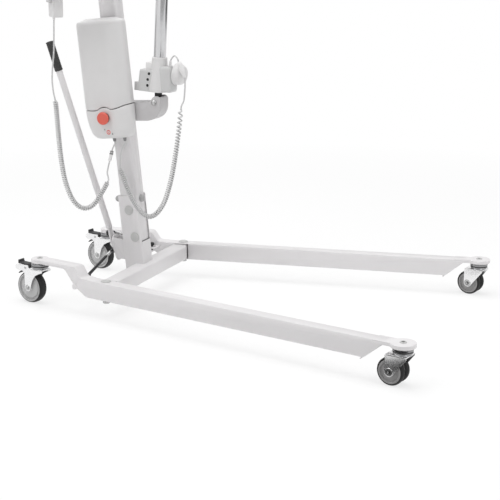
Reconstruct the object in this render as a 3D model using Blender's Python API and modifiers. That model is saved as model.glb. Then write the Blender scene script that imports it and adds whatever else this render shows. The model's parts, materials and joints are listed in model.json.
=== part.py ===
"""An electric patient lift: a mobile floor hoist with a leaning mast, a lifting boom and opening legs.

Metres, +Z up, +X forward. The lift stands on its wheels at z = 0. The root empty sits in the middle of
the footprint, and every body hangs from an empty on its own joint axis. The legs are modelled open and
the boom is modelled at the top of its stroke, as a lift is shown.
"""

import math

import bmesh
import bpy
import numpy as np
from mathutils import Matrix, Vector

# Clearances
GAP = 0.0003
RUNNING = 0.0003
SIDE_PLAY = 0.0005

# Base
LEG_PIVOT_Y = 0.2565
LEG_SPREAD = math.radians(10.26)
LEG_TOP = 0.114
LEG_HEIGHT = 0.056
LEG_WIDTH = 0.044
LEG_CORNER = 0.007
LEG_WALL = 0.003
LEG_LENGTH = 0.927
LEG_SLANT_RUN = 0.059
LEG_TUBE_REAR = 0.104
FRONT_SWIVEL_AHEAD = 0.047
FRONT_SWIVEL = LEG_LENGTH + FRONT_SWIVEL_AHEAD
FRONT_PLATE = 0.010
FRONT_DISC_RADIUS = 0.034
REAR_SWIVEL = 0.2636
ARM_TOP = 0.146
ARM_THICKNESS = 0.012
ARM_WIDTH = 0.040
ARM_END_RADIUS = 0.026
POCKET_HALF = 0.0225
PIVOT_BOLT_RADIUS = 0.008
PIVOT_CAP_RADIUS = 0.015
PIVOT_CAP_HEIGHT = 0.0045
PIVOT_NUT_RADIUS = 0.011
PIVOT_NUT_HEIGHT = 0.010
BEAM_DEPTH = 0.052
TONGUE_RADIUS = 0.016
TAB_REACH = 0.035
TAB_BACK = 0.100
TAB_TOP = 0.101
TAB_THICKNESS = 0.005
SLOT_HALF = 0.0055
SLOT_RUN = 0.0095

# Casters
FRONT_WHEEL_RADIUS = 0.0375
FRONT_TREAD = 0.017
FRONT_WHEEL_SPACING = 0.004
FRONT_TRAIL = 0.026
FRONT_SWIVEL_ANGLE = math.radians(-11)
REAR_WHEEL_RADIUS = 0.050
REAR_TREAD = 0.032
REAR_TRAIL = 0.037
REAR_SWIVEL_ANGLE = math.radians(-11)
RACE_RADIUS = 0.0275
FRONT_BOSS = 0.0125
PEDAL_PIN = (-0.0445, 0.0, 0.1130)
PEDAL_PIN_RADIUS = 0.0030
PEDAL_WIDTH = 0.024
TYRE_THICKNESS = 0.011
RACE_HEIGHT = 0.010
FORK_SHEET = 0.0025
CASTER_STEM = 0.005
AXLE_RADIUS = 0.004
WHEEL_SIDE_GAP = 0.0008

# Mast
MAST_FOOT = Vector((-0.034, 0.0, 0.177))
MAST_LEAN = math.radians(5.9)
MAST_DEPTH = 0.060
MAST_WIDTH = 0.050
MAST_WALL = 0.003
MAST_CORNER = 0.006
MAST_LENGTH = 1.089
BOOM_PIVOT_UP_MAST = 1.159
CHEEK_SHEET = 0.0055
FOOT_SHEET = 0.0045
FOOT_CHEEK_TOP = 0.148
FOOT_BOTTOM = 0.092
SIDE_BOLTS = ((0.0, 0.102), (0.011, 0.016))
CLAMP_BOLT_UP = 0.134
BOLT_RADIUS = 0.005
SIDE_CAP_RADIUS = 0.015
CLAMP_CAP_RADIUS = 0.011
CAP_HEIGHT = 0.0055

# Push handle
HANDLE_RADIUS = 0.0125
HANDLE_UP_MAST = 0.782
HANDLE_REAR_X = -0.254
HANDLE_HALF_WIDTH = 0.221
HANDLE_BEND = 0.090
HANDLE_FLANGE_RADIUS = 0.021
HANDLE_GRIP_LENGTH = 0.180
HANDLE_GRIP_WALL = 0.003

# Boom and hanger
BOOM_RISE = math.radians(28)
BOOM_HEIGHT = 0.060
BOOM_WIDTH = 0.040
BOOM_WALL = 0.003
BOOM_CORNER = 0.005
BOOM_REACH = 0.920
BOOM_LUG_ALONG = 0.2255
BOOM_LUG_BELOW = 0.0957
BOOM_PIVOT_RADIUS = 0.006
HANGER_PIN_RADIUS = 0.005
HANGER_STEM_RADIUS = 0.008
HANGER_HUB_RADIUS = 0.018
SPREADER_HALF = 0.225
SPREADER_DROP = 0.145
SPREADER_TUBE = 0.011
HOOK_WIRE = 0.006
HOOK_RADIUS = 0.018

# Actuator
ACTUATOR_PIN = Vector((0.048, 0.0, 0.621))
ACTUATOR_PIN_RADIUS = 0.005
ACTUATOR_TUBE_RADIUS = 0.01875
ACTUATOR_TUBE_BORE = 0.012
ACTUATOR_TUBE_END = 0.485
ACTUATOR_ROD_RADIUS = 0.011
ACTUATOR_ROD_LENGTH = 0.300
ACTUATOR_EYE = 0.012
COLLAR_TOP = 0.137
MOTOR_START, MOTOR_SIDE, MOTOR_UP = 0.0535, 0.006, 0.0895
MOTOR_RADIUS, MOTOR_LENGTH = 0.0330, 0.0330
BRACKET_HALF_WIDTH = 0.0265
BRACKET_WALL = 0.004

# Control box on the near side of the mast, sizes across, out and up the mast
BOX_CENTRE = -0.0215
BOX_HALF = 0.0815
BOX_FLAT_HALF = 0.0195
BOX_BACK = 0.0285
BOX_EDGE = 0.040
BOX_FRONT = 0.076
UNIT_BOTTOM = 0.334
BATTERY_SHOULDER = 0.686
BATTERY_CROWN = 0.7015
SEAM_GAP = 0.0012
STOP_ACROSS = -0.0215
STOP_UP = 0.3995
STOP_RADIUS = 0.020
STOP_ARCH = 0.0325
BOX_PLATE = 0.0028
BOX_PLATE_WIDTH = 0.044
BOX_PLATE_HEIGHT = 0.330
BOX_PLATE_LOW = 0.350
HANDSET_BOOT = (-0.010, 0.052)
ACTUATOR_BOOT = (0.0255, 0.050)
BOOT_BOTTOM = 0.3235

# Hand lever that opens the legs
LEVER_PIVOT = Vector((-0.119, 0.0, 0.165))
LEVER_PLANE_LEAN = math.radians(13.5)
LEVER_REST = math.radians(8.4)
LEVER_LENGTH = 0.660
LEVER_TUBE_RADIUS = 0.010
LEVER_GRIP_RADIUS = 0.013
LEVER_GRIP_LENGTH = 0.092
ROCKER_ARM = 0.029
ROCKER_SHEET = 0.006
ROCKER_PIN = 0.004
ROD_RADIUS = 0.005
ROD_EYE = 0.010
ROD_BEHIND = 0.0085

# Handset
HANDSET_PLACE = Vector((-0.199, -0.170, 0.881))
HANDSET_TURN = math.radians(48)
HANDSET_WIDTH = 0.060
HANDSET_DEPTH = 0.030
HANDSET_HEIGHT = 0.150
HANDSET_BUTTON = 0.010

# Cords
CORD_RADIUS = 0.0025
COIL_RADIUS = 0.0060
CORD_STEP = 0.018
HANDSET_CURLS = 20
ACTUATOR_CURLS = 14
POINTS_PER_CURL = 8
HANDSET_DROP = ((-0.2068, -0.170, 0.8725), (-0.2082, -0.171, 0.820), (-0.2097, -0.172, 0.776),
                (-0.2145, -0.173, 0.735), (-0.2172, -0.174, 0.694), (-0.2140, -0.174, 0.657),
                (-0.2085, -0.174, 0.632))
HANDSET_COIL = ((-0.2085, -0.174, 0.632), (-0.2058, -0.173, 0.597), (-0.2033, -0.170, 0.524),
                (-0.1998, -0.165, 0.449), (-0.1925, -0.158, 0.384), (-0.179, -0.148, 0.332),
                (-0.160, -0.138, 0.304), (-0.1384, -0.128, 0.297), (-0.1163, -0.117, 0.311),
                (-0.0995, -0.103, 0.341), (-0.0840, -0.088, 0.377))
HANDSET_RISE = ((-0.0840, -0.088, 0.377), (-0.0850, -0.0826, 0.387), (-0.0915, -0.077, 0.402),
                (-0.0905, -0.071, 0.422), (-0.0882, -0.0666, 0.4370))
CONNECTOR = ((-0.0882, -0.0666, 0.4370), (-0.0829, -0.0590, 0.4700))
HANDSET_TAIL = ((-0.0829, -0.0590, 0.4700), (-0.0795, -0.0545, 0.4830), (-0.0774, -0.0520, 0.4980))
ACTUATOR_DROP = ((-0.0418, -0.0500, 0.5000), (-0.0490, -0.0500, 0.4820), (-0.0575, -0.0505, 0.460),
                 (-0.0609, -0.0520, 0.436), (-0.0590, -0.0525, 0.4130))
ACTUATOR_COIL = ((-0.0590, -0.0525, 0.4130), (-0.0536, -0.0530, 0.398), (-0.0395, -0.0545, 0.364),
                 (-0.0210, -0.0560, 0.328), (0.0011, -0.0580, 0.299), (0.0241, -0.0600, 0.2785),
                 (0.0463, -0.0600, 0.2730), (0.0699, -0.0580, 0.2875), (0.0919, -0.0520, 0.3225),
                 (0.1081, -0.0450, 0.3772), (0.1197, -0.0400, 0.4366), (0.1287, -0.0350, 0.5002),
                 (0.1348, -0.0300, 0.5585), (0.1391, -0.0270, 0.6050))
ACTUATOR_RISE = ((0.1391, -0.0270, 0.6050), (0.1410, -0.0258, 0.6170), (0.1480, -0.0240, 0.6340),
                 (0.1505, -0.0215, 0.6690), (0.1500, -0.0200, 0.7010))
PLUG_TOP = (0.1300, -0.0200, 0.7480)

# Colours as linear values, roughness and metallic value
LOOKS = {
    "paint": ((0.66, 0.66, 0.66), 0.40, 0.0),
    "casing": ((0.62, 0.62, 0.61), 0.50, 0.0),
    "zinc": ((0.55, 0.55, 0.54), 0.35, 0.9),
    "steel": ((0.60, 0.60, 0.60), 0.30, 1.0),
    "aluminium": ((0.66, 0.66, 0.67), 0.30, 0.9),
    "dark": ((0.035, 0.035, 0.035), 0.60, 0.0),
    "rubber": ((0.040, 0.040, 0.040), 0.75, 0.0),
    "hub": ((0.30, 0.30, 0.30), 0.50, 0.0),
    "cap": ((0.52, 0.52, 0.52), 0.50, 0.0),
    "red": ((0.75, 0.12, 0.08), 0.40, 0.0),
    "cord": ((0.42, 0.42, 0.41), 0.55, 0.0),
}

for old in list(bpy.data.objects):
    bpy.data.objects.remove(old, do_unlink=True)


def collection(name, hidden=False):
    made = bpy.data.collections.new(name)
    made.hide_render = hidden
    bpy.context.scene.collection.children.link(made)
    return made


LIFT = collection("patient_lift")
CUTTERS = collection("cutters", hidden=True)

ALONG_X = Matrix.Rotation(math.pi / 2, 4, "Y")
ALONG_Y = Matrix.Rotation(math.pi / 2, 4, "X")
SIDE_VIEW = Matrix.Rotation(math.pi / 2, 4, "X")
REAR_VIEW = Matrix(((0, 0, 1, 0), (1, 0, 0, 0), (0, 1, 0, 0), (0, 0, 0, 1)))


def at(x=0.0, y=0.0, z=0.0):
    return Matrix.Translation((x, y, z))


def turn(angle, axis):
    return Matrix.Rotation(angle, 4, axis)


def joint_empty(name, place, parent=None):
    """An empty that carries one body, on its joint's axis."""
    empty = bpy.data.objects.new(name, None)
    empty.empty_display_size = 0.03
    LIFT.objects.link(empty)
    empty.parent = parent
    empty.matrix_basis = place
    return empty


# Shape helpers


def place_mesh(name, mesh, place, frame):
    obj = bpy.data.objects.new(name, mesh)
    LIFT.objects.link(obj)
    obj.parent = frame
    obj.matrix_basis = place
    return obj


def from_bmesh(name, bm, place, frame):
    mesh = bpy.data.meshes.new(name)
    bm.to_mesh(mesh)
    bm.free()
    return place_mesh(name, mesh, place, frame)


def block(name, size, place, frame, edge=0.0, segments=2):
    """A box with rounded edges."""
    bm = bmesh.new()
    bmesh.ops.create_cube(bm, size=1.0, matrix=Matrix.Diagonal((*size, 1.0)))
    if edge:
        bmesh.ops.bevel(bm, geom=list(bm.edges), offset=edge, segments=segments, profile=0.5, affect="EDGES")
    return from_bmesh(name, bm, place, frame)


def cylinder(name, radius, length, place, frame, steps=12):
    """A cylinder along its own Z, centred on its place."""
    bm = bmesh.new()
    bmesh.ops.create_cone(bm, cap_ends=True, segments=steps, radius1=radius, radius2=radius, depth=length)
    return from_bmesh(name, bm, place, frame)


def turned(name, profile, place, frame, steps=16, ring=False):
    """A profile of (radius, height) points, top to bottom on its outer side, turned about Z."""
    mesh = bpy.data.meshes.new(name)
    links = [(i, i + 1) for i in range(len(profile) - 1)]
    if ring:
        links.append((len(profile) - 1, 0))
    mesh.from_pydata([(r, 0.0, z) for r, z in profile], links, [])
    obj = place_mesh(name, mesh, place, frame)
    screw = obj.modifiers.new("turn", "SCREW")
    screw.axis = "Z"
    screw.steps = steps
    screw.render_steps = steps
    screw.use_merge_vertices = True
    screw.merge_threshold = 0.00001
    return obj


def curve_mesh(curve, name, place, frame):
    """A curve's solid as a mesh object, with its caps welded to its sides."""
    maker = bpy.data.objects.new(name, curve)
    LIFT.objects.link(maker)
    bpy.context.view_layer.update()
    graph = bpy.context.evaluated_depsgraph_get()
    mesh = bpy.data.meshes.new_from_object(maker.evaluated_get(graph))
    bpy.data.objects.remove(maker, do_unlink=True)
    bm = bmesh.new()
    bm.from_mesh(mesh)
    bmesh.ops.remove_doubles(bm, verts=bm.verts, dist=0.000001)
    bmesh.ops.recalc_face_normals(bm, faces=bm.faces)
    bm.to_mesh(mesh)
    bm.free()
    mesh.name = name
    return place_mesh(name, mesh, place, frame)


def spline_of(curve, points, cyclic):
    spline = curve.splines.new("POLY")
    spline.points.add(len(points) - 1)
    spline.points.foreach_set("co", [value for p in points for value in (*p, 1.0)])
    spline.use_cyclic_u = cyclic


def prism(name, outline, depth, place, frame):
    """A flat outline extruded by depth, half to each side."""
    curve = bpy.data.curves.new(name, "CURVE")
    curve.dimensions = "2D"
    curve.fill_mode = "BOTH"
    curve.extrude = depth / 2
    spline_of(curve, [(x, y, 0.0) for x, y in outline], True)
    return curve_mesh(curve, name, place, frame)


def tube(name, points, radius, frame, resolution=2, place=Matrix()):
    """A round bar along a polyline."""
    curve = bpy.data.curves.new(name, "CURVE")
    curve.dimensions = "3D"
    curve.bevel_depth = radius
    curve.bevel_resolution = resolution
    curve.use_fill_caps = True
    spline_of(curve, points, False)
    return curve_mesh(curve, name, place, frame)


def loft(name, rings, place, frame):
    """A closed skin over rings of equal point counts, for unlike sections along one body."""
    count = len(rings[0])
    faces = [tuple(range(count - 1, -1, -1))]
    for level in range(len(rings) - 1):
        low = level * count
        for i in range(count):
            j = (i + 1) % count
            faces.append((low + i, low + j, low + count + j, low + count + i))
    last = (len(rings) - 1) * count
    faces.append(tuple(range(last, last + count)))
    mesh = bpy.data.meshes.new(name)
    mesh.from_pydata([p for ring in rings for p in ring], [], faces)
    bm = bmesh.new()
    bm.from_mesh(mesh)
    bmesh.ops.recalc_face_normals(bm, faces=bm.faces)
    bm.to_mesh(mesh)
    bm.free()
    return place_mesh(name, mesh, place, frame)


def arc(x, y, radius, start, end, steps):
    """Points of an arc about (x, y), from one angle to another in degrees."""
    angles = np.radians(np.linspace(start, end, steps + 1))
    return [(x + radius * math.cos(a), y + radius * math.sin(a)) for a in angles]


def rounded_rectangle(width, height, radius, steps=2):
    x, y = width / 2 - radius, height / 2 - radius
    corners = ((x, y, 0), (-x, y, 90), (-x, -y, 180), (x, -y, 270))
    return [p for cx, cy, a in corners for p in arc(cx, cy, radius, a, a + 90, steps)]


def rounded_path(points, radius, steps=5):
    """A 3-D polyline whose inner corners are arcs of one radius."""
    corners = [Vector(p) for p in points]
    path = [corners[0]]
    for before, corner, after in zip(corners, corners[1:], corners[2:]):
        a, b = (before - corner).normalized(), (after - corner).normalized()
        half = a.angle(b) / 2
        centre = corner + (a + b).normalized() * radius / math.sin(half)
        first = corner + a * radius / math.tan(half) - centre
        last = corner + b * radius / math.tan(half) - centre
        for step in range(steps + 1):
            path.append(centre + first.slerp(last, step / steps) * radius)
    return path + [corners[-1]]


def rounded_outline(points, radius, steps=2):
    """A closed flat outline whose corners are arcs, where radius is one value or one for each corner."""
    count = len(points)
    radii = [radius] * count if isinstance(radius, float) else radius
    outline = []
    for i, (point, r) in enumerate(zip(points, radii)):
        corner = Vector((*point, 0.0))
        if not r:
            outline.append(tuple(point))
            continue
        a = (Vector((*points[i - 1], 0.0)) - corner).normalized()
        b = (Vector((*points[(i + 1) % count], 0.0)) - corner).normalized()
        half = a.angle(b) / 2
        centre = corner + (a + b).normalized() * r / math.sin(half)
        first = corner + a * r / math.tan(half) - centre
        last = corner + b * r / math.tan(half) - centre
        outline += [tuple((centre + first.slerp(last, step / steps) * r)[:2]) for step in range(steps + 1)]
    return outline


def retire(obj):
    """Turns an object into a cutter or a joined piece, which isn't a part of its own."""
    LIFT.objects.unlink(obj)
    CUTTERS.objects.link(obj)
    obj.hide_render = True
    obj.display_type = "WIRE"


def boolean(target, operation, others):
    for other in others:
        modifier = target.modifiers.new(other.name, "BOOLEAN")
        modifier.operation = operation
        modifier.solver = "EXACT"
        modifier.object = other
        retire(other)
    return target


def cut(target, *others):
    return boolean(target, "DIFFERENCE", others)


def fuse(target, *others):
    return boolean(target, "UNION", others)


def finish(obj, look):
    """A smooth shaded piece with its own material."""
    colour, roughness, metallic = LOOKS[look]
    material = bpy.data.materials.new(obj.name)
    material.use_nodes = True
    shader = material.node_tree.nodes["Principled BSDF"]
    shader.inputs["Base Color"].default_value = (*colour, 1.0)
    shader.inputs["Roughness"].default_value = roughness
    shader.inputs["Metallic"].default_value = metallic
    material.diffuse_color = (*colour, 1.0)
    obj.data.materials.clear()
    obj.data.materials.append(material)
    if obj.type == "MESH" and len(obj.data.polygons):
        obj.data.shade_smooth()
        obj.data.set_sharp_from_angle(angle=math.radians(35))
    return obj


def through_bolt(name, radius, grip, cap, cap_height, place, frame, look, nut=None, nut_height=None):
    """A bolt along Z with a domed cap above and a cap or a nut below. The grip includes both gaps."""
    half = grip / 2
    low = cap if nut is None else nut
    low_height = cap_height if nut_height is None else nut_height
    profile = [(0.0, half + cap_height), (cap * 0.70, half + cap_height * 0.88),
               (cap, half + cap_height * 0.25),
               (cap, half), (radius, half), (radius, -half), (low, -half), (low, -half - low_height * 0.25),
               (low * 0.70, -half - low_height * 0.88), (0.0, -half - low_height)]
    return finish(turned(name, profile, place, frame, 10), look)


# Frames of the bodies

ROOT = joint_empty("lift_root", Matrix())
MAST = joint_empty("mast_frame", Matrix.Translation(MAST_FOOT) @ turn(-MAST_LEAN, "Y"), ROOT)
BOOM_PIVOT = MAST.matrix_basis @ Vector((0.0, 0.0, BOOM_PIVOT_UP_MAST))
BOOM = joint_empty("boom_joint", Matrix.Translation(BOOM_PIVOT) @ turn(-BOOM_RISE, "Y"), ROOT)
BOOM_LUG = BOOM.matrix_basis @ Vector((BOOM_LUG_ALONG, 0.0, -BOOM_LUG_BELOW))
PIN_LINE = BOOM_LUG - ACTUATOR_PIN
ACTUATOR_TILT = math.atan2(PIN_LINE.x, PIN_LINE.z)
ACTUATOR = joint_empty("actuator_joint", Matrix.Translation(ACTUATOR_PIN) @ turn(ACTUATOR_TILT, "Y"), ROOT)
HANGER_PIN = BOOM.matrix_basis @ Vector((BOOM_REACH, 0.0, 0.0))
HANGER = joint_empty("hanger_joint", Matrix.Translation(HANGER_PIN), ROOT)
LEVER_PLANE = Matrix.Translation(LEVER_PIVOT) @ turn(-LEVER_PLANE_LEAN, "Y")
LEVER = joint_empty("lever_joint", LEVER_PLANE @ turn(LEVER_REST, "X"), ROOT)
HANDSET = joint_empty("handset_frame", Matrix.Translation(HANDSET_PLACE) @ turn(HANDSET_TURN, "Z"), ROOT)
SIDES = (("right", -1), ("left", 1))
LEGS = {name: joint_empty(f"leg_{name}_joint", at(0, side * LEG_PIVOT_Y, 0) @ turn(side * LEG_SPREAD, "Z"),
                          ROOT)
        for name, side in SIDES}

LEG_BOTTOM = LEG_TOP - LEG_HEIGHT
BEAM_TOP = LEG_TOP - LEG_WALL - SIDE_PLAY * 3
BEAM_BOTTOM = LEG_BOTTOM + LEG_WALL + SIDE_PLAY * 3
ARM_BOTTOM = ARM_TOP - ARM_THICKNESS


# Base: cross-beam, mast foot and lever bracket in one welded frame


def base_frame():
    beam_middle = (BEAM_TOP + BEAM_BOTTOM) / 2
    beam_height = BEAM_TOP - BEAM_BOTTOM
    shoulder = (LEG_WIDTH / 2 + 0.001 + BEAM_DEPTH / 2 * math.sin(LEG_SPREAD)) / math.cos(LEG_SPREAD)
    half = LEG_PIVOT_Y - shoulder
    frame = prism("base_frame", rounded_rectangle(BEAM_DEPTH, beam_height, 0.005, 2), 2 * half,
                  at(0, 0, beam_middle) @ SIDE_VIEW, ROOT)
    for name, side in SIDES:
        reach = shoulder + 0.010
        tongue = prism(f"tongue_{name}",
                       arc(0, 0, TONGUE_RADIUS, 0, 180, 6) + [(-TONGUE_RADIUS, -reach),
                                                              (TONGUE_RADIUS, -reach)],
                       beam_height - 0.0012,
                       at(0, side * LEG_PIVOT_Y, beam_middle) @ turn(0 if side > 0 else math.pi, "Z"), ROOT)
        fuse(frame, tongue)
    foot_half = MAST_WIDTH / 2 + SIDE_PLAY + FOOT_SHEET
    rear = MAST_DEPTH / 2 + GAP + FOOT_SHEET
    front = MAST_DEPTH / 2 + 0.0015
    foot = block("foot", (front + rear, 2 * foot_half, FOOT_CHEEK_TOP + FOOT_BOTTOM),
                 at((front - rear) / 2, 0, (FOOT_CHEEK_TOP - FOOT_BOTTOM) / 2), MAST, 0.0025, 1)
    hollow_low = -0.055
    hollow = block("foot_hollow", (MAST_DEPTH / 2 + GAP + 0.0270, MAST_WIDTH + 2 * SIDE_PLAY, 0.3 - hollow_low),
                   at((0.0270 - MAST_DEPTH / 2 - GAP) / 2, 0, (0.3 + hollow_low) / 2), MAST)
    window = block("foot_window", (0.05, MAST_WIDTH + 2 * SIDE_PLAY, 0.3),
                   at(0.02, 0, 0.15 - SIDE_PLAY), MAST)
    belly = block("foot_belly", (0.2, 0.2, 0.05),
                  at(0.10 - BEAM_DEPTH / 2 + 0.002, 0, BEAM_BOTTOM + 0.002 - 0.025),
                  ROOT)
    cut(foot, hollow, window)
    fuse(frame, foot)
    cut(frame, belly)
    fuse(frame, prism("lever_plate", lever_plate_outline(), 0.005,
                      LEVER_PLANE @ at(0.0105, 0, 0) @ REAR_VIEW, ROOT))
    gusset = ((-0.1105, 0.182), (-0.0665, 0.178), (-0.0600, 0.1150), (-0.0950, 0.1165))
    for side in (-1, 1):
        fuse(frame, prism(f"lever_gusset_{side}", gusset, 0.005, at(0, side * 0.0185, 0) @ SIDE_VIEW, ROOT))
    for name, side in SIDES:
        cut(frame, cylinder(f"tongue_hole_{name}", PIVOT_BOLT_RADIUS + RUNNING, 0.2,
                            at(0, side * LEG_PIVOT_Y, 0.1), ROOT))
    for i, (x, up) in enumerate(SIDE_BOLTS):
        cut(frame, cylinder(f"foot_hole_{i}", BOLT_RADIUS + RUNNING, 0.1, at(x, 0, up) @ ALONG_Y, MAST, 10))
    cut(frame, cylinder("clamp_hole", BOLT_RADIUS + RUNNING, 0.05, at(-rear, 0, CLAMP_BOLT_UP) @ ALONG_X, MAST,
                        10))
    cut(frame, cylinder("lever_hole", BOLT_RADIUS + RUNNING, 0.02,
                        LEVER_PLANE @ at(0.0105, 0, 0) @ ALONG_X, ROOT, 16))
    return finish(frame, "paint")


def lever_plate_outline():
    half = 0.0225
    return arc(0, 0, half, 0, 180, 6) + [(-half, -0.050), (-half + 0.008, -0.060), (half - 0.008, -0.060),
                                          (half, -0.050)]


# Legs


def leg(name, side):
    frame = LEGS[name]
    inward = -side
    middle = (LEG_TOP + LEG_BOTTOM) / 2
    length = LEG_LENGTH + LEG_TUBE_REAR
    centre = (LEG_LENGTH - LEG_TUBE_REAR) / 2
    low_end = LEG_LENGTH - LEG_SLANT_RUN
    part = prism(f"leg_{name}", rounded_rectangle(LEG_WIDTH, LEG_HEIGHT, LEG_CORNER), length,
                 at(centre, 0, middle) @ REAR_VIEW, frame)
    under = LEG_TOP - FRONT_PLATE + 0.0005
    slant = [(LEG_LENGTH - 0.003, under), (low_end, LEG_BOTTOM - 0.001), (low_end, LEG_BOTTOM - 0.02),
             (LEG_LENGTH + 0.02, LEG_BOTTOM - 0.02), (LEG_LENGTH + 0.02, under)]
    heel = [(-0.055, LEG_BOTTOM - 0.001), (-0.100, 0.085), (-0.086, LEG_TOP + 0.001), (-0.12, LEG_TOP + 0.001),
            (-0.12, LEG_BOTTOM - 0.001)]
    cut(part,
        prism(f"slant_{name}", slant, LEG_WIDTH * 2, SIDE_VIEW, frame),
        prism(f"heel_{name}", heel, LEG_WIDTH * 2, SIDE_VIEW, frame))
    plate_low = LEG_TOP - FRONT_PLATE + 0.001
    lip = [(LEG_LENGTH - 0.005, plate_low), (low_end - 0.003, LEG_BOTTOM + 0.001),
           (low_end - 0.0065, LEG_BOTTOM - 0.0030), (low_end - 0.0035, LEG_BOTTOM - 0.0035),
           (LEG_LENGTH - 0.0005, plate_low)]
    top, low = ARM_TOP - 0.0002, ARM_BOTTOM + 0.0002
    neck = [(-0.055, 0.1135), (-0.084, 0.1145), (-0.1045, top), (-REAR_SWIVEL, top),
            (-REAR_SWIVEL, low), (-0.146, low), (-0.117, 0.100), (-0.1055, 0.0855), (-0.055, 0.0865)]
    neck = rounded_outline(neck, [0, 0.012, 0.012, 0, 0, 0.015, 0.006, 0.006, 0])
    plate_start = low_end + 0.03
    plate = block(f"front_plate_{name}", (FRONT_SWIVEL - plate_start, LEG_WIDTH - 0.0008, FRONT_PLATE - 0.0006),
                  at((FRONT_SWIVEL + plate_start) / 2, 0, LEG_TOP - FRONT_PLATE / 2), frame)
    boss_z = 0.0862
    fuse(part,
         prism(f"lip_{name}", lip, LEG_WIDTH - 0.002, SIDE_VIEW, frame),
         prism(f"neck_{name}", neck, ARM_WIDTH, SIDE_VIEW, frame),
         cylinder(f"arm_end_{name}", ARM_END_RADIUS, ARM_THICKNESS,
                  at(-REAR_SWIVEL, 0, ARM_TOP - ARM_THICKNESS / 2), frame),
         plate,
         cylinder(f"front_disc_{name}", FRONT_DISC_RADIUS, FRONT_PLATE,
                  at(FRONT_SWIVEL, 0, LEG_TOP - FRONT_PLATE / 2),
                  frame, 16),
         cylinder(f"heel_boss_{name}", 0.009, LEG_WIDTH + 0.002, at(-0.1050, 0, boss_z) @ ALONG_Y, frame, 10))
    fuse(part, prism(f"tab_{name}", tab_outline(inward), TAB_THICKNESS, at(0, 0, TAB_TOP - TAB_THICKNESS / 2),
                     frame))
    pocket_height = LEG_HEIGHT - 2 * LEG_WALL
    cut(part,
        block(f"pocket_{name}", (2 * POCKET_HALF, LEG_WIDTH, pocket_height), at(0, inward * LEG_WALL, middle),
              frame),
        cylinder(f"pivot_hole_{name}", PIVOT_BOLT_RADIUS + RUNNING, 0.2, at(0, 0, middle), frame),
        cylinder(f"front_hole_{name}", CASTER_STEM + RUNNING, 0.05, at(FRONT_SWIVEL, 0, LEG_TOP), frame, 10),
        cylinder(f"rear_hole_{name}", CASTER_STEM + RUNNING, 0.05, at(-REAR_SWIVEL, 0, ARM_TOP), frame, 10),
        prism(f"slot_{name}", slot_outline(inward), 0.02, at(0, 0, TAB_TOP), frame))
    return finish(part, "paint")


def tab_outline(inward):
    end = TAB_REACH + 0.004
    outline = [(-TAB_BACK - 0.014, 0.012)] + arc(-TAB_BACK - 0.002, end, 0.012, 180, 90, 2)
    outline += arc(-TAB_BACK + SLOT_RUN + 0.002, end, 0.012, 90, 0, 2) + [(-TAB_BACK + SLOT_RUN + 0.014, 0.012)]
    return [(x, inward * y) for x, y in outline]


def slot_outline(inward):
    outline = arc(-TAB_BACK, TAB_REACH, SLOT_HALF, 90, 270, 4)
    outline += arc(-TAB_BACK + SLOT_RUN, TAB_REACH, SLOT_HALF, -90, 90, 4)
    return [(x, inward * y) for x, y in outline]


def leg_pivot_bolt(name, side):
    grip = LEG_HEIGHT + 2 * GAP
    return through_bolt(f"leg_pivot_bolt_{name}", PIVOT_BOLT_RADIUS, grip, PIVOT_CAP_RADIUS, PIVOT_CAP_HEIGHT,
                        at(0, side * LEG_PIVOT_Y, (LEG_TOP + LEG_BOTTOM) / 2), ROOT, "cap",
                        PIVOT_NUT_RADIUS, PIVOT_NUT_HEIGHT)


# Casters


def caster_head(name, top, thickness, place, frame):
    """The bolt through the leg's plate, with the fixed half of the raceway under the plate."""
    under = top - thickness - GAP
    cap = top + GAP
    profile = [(0.0, cap + 0.0040), (0.0060, cap + 0.0036), (0.0090, cap), (CASTER_STEM, cap),
               (CASTER_STEM, under),
               (RACE_RADIUS, under), (RACE_RADIUS, under - RACE_HEIGHT * 0.55),
               (RACE_RADIUS - 0.0040, under - RACE_HEIGHT), (0.0080, under - RACE_HEIGHT),
               (0.0080, under - RACE_HEIGHT * 1.7), (0.0, under - RACE_HEIGHT * 1.7)]
    return finish(turned(name, profile, place, frame, 12), "zinc")


def race_cup(name, top, depth, place, frame):
    """The turning half of the raceway, with a clearance bore for the stem."""
    bore = 0.0080 + RUNNING
    profile = [(bore, top), (RACE_RADIUS - 0.0050, top), (RACE_RADIUS - 0.0010, top - depth * 0.45),
               (RACE_RADIUS - 0.0025, top - depth), (bore, top - depth)]
    return turned(name, profile, place, frame, 12, ring=True)


def front_fork_sheet():
    radius, trail = FRONT_WHEEL_RADIUS, FRONT_TRAIL
    top = 0.0832
    boss = arc(-trail, radius, FRONT_BOSS, 320, 180, 5)
    return [(0.0215, top), (0.0215, 0.0775), (0.0180, 0.0735)] + boss + [(-trail - FRONT_BOSS, top)]


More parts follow.
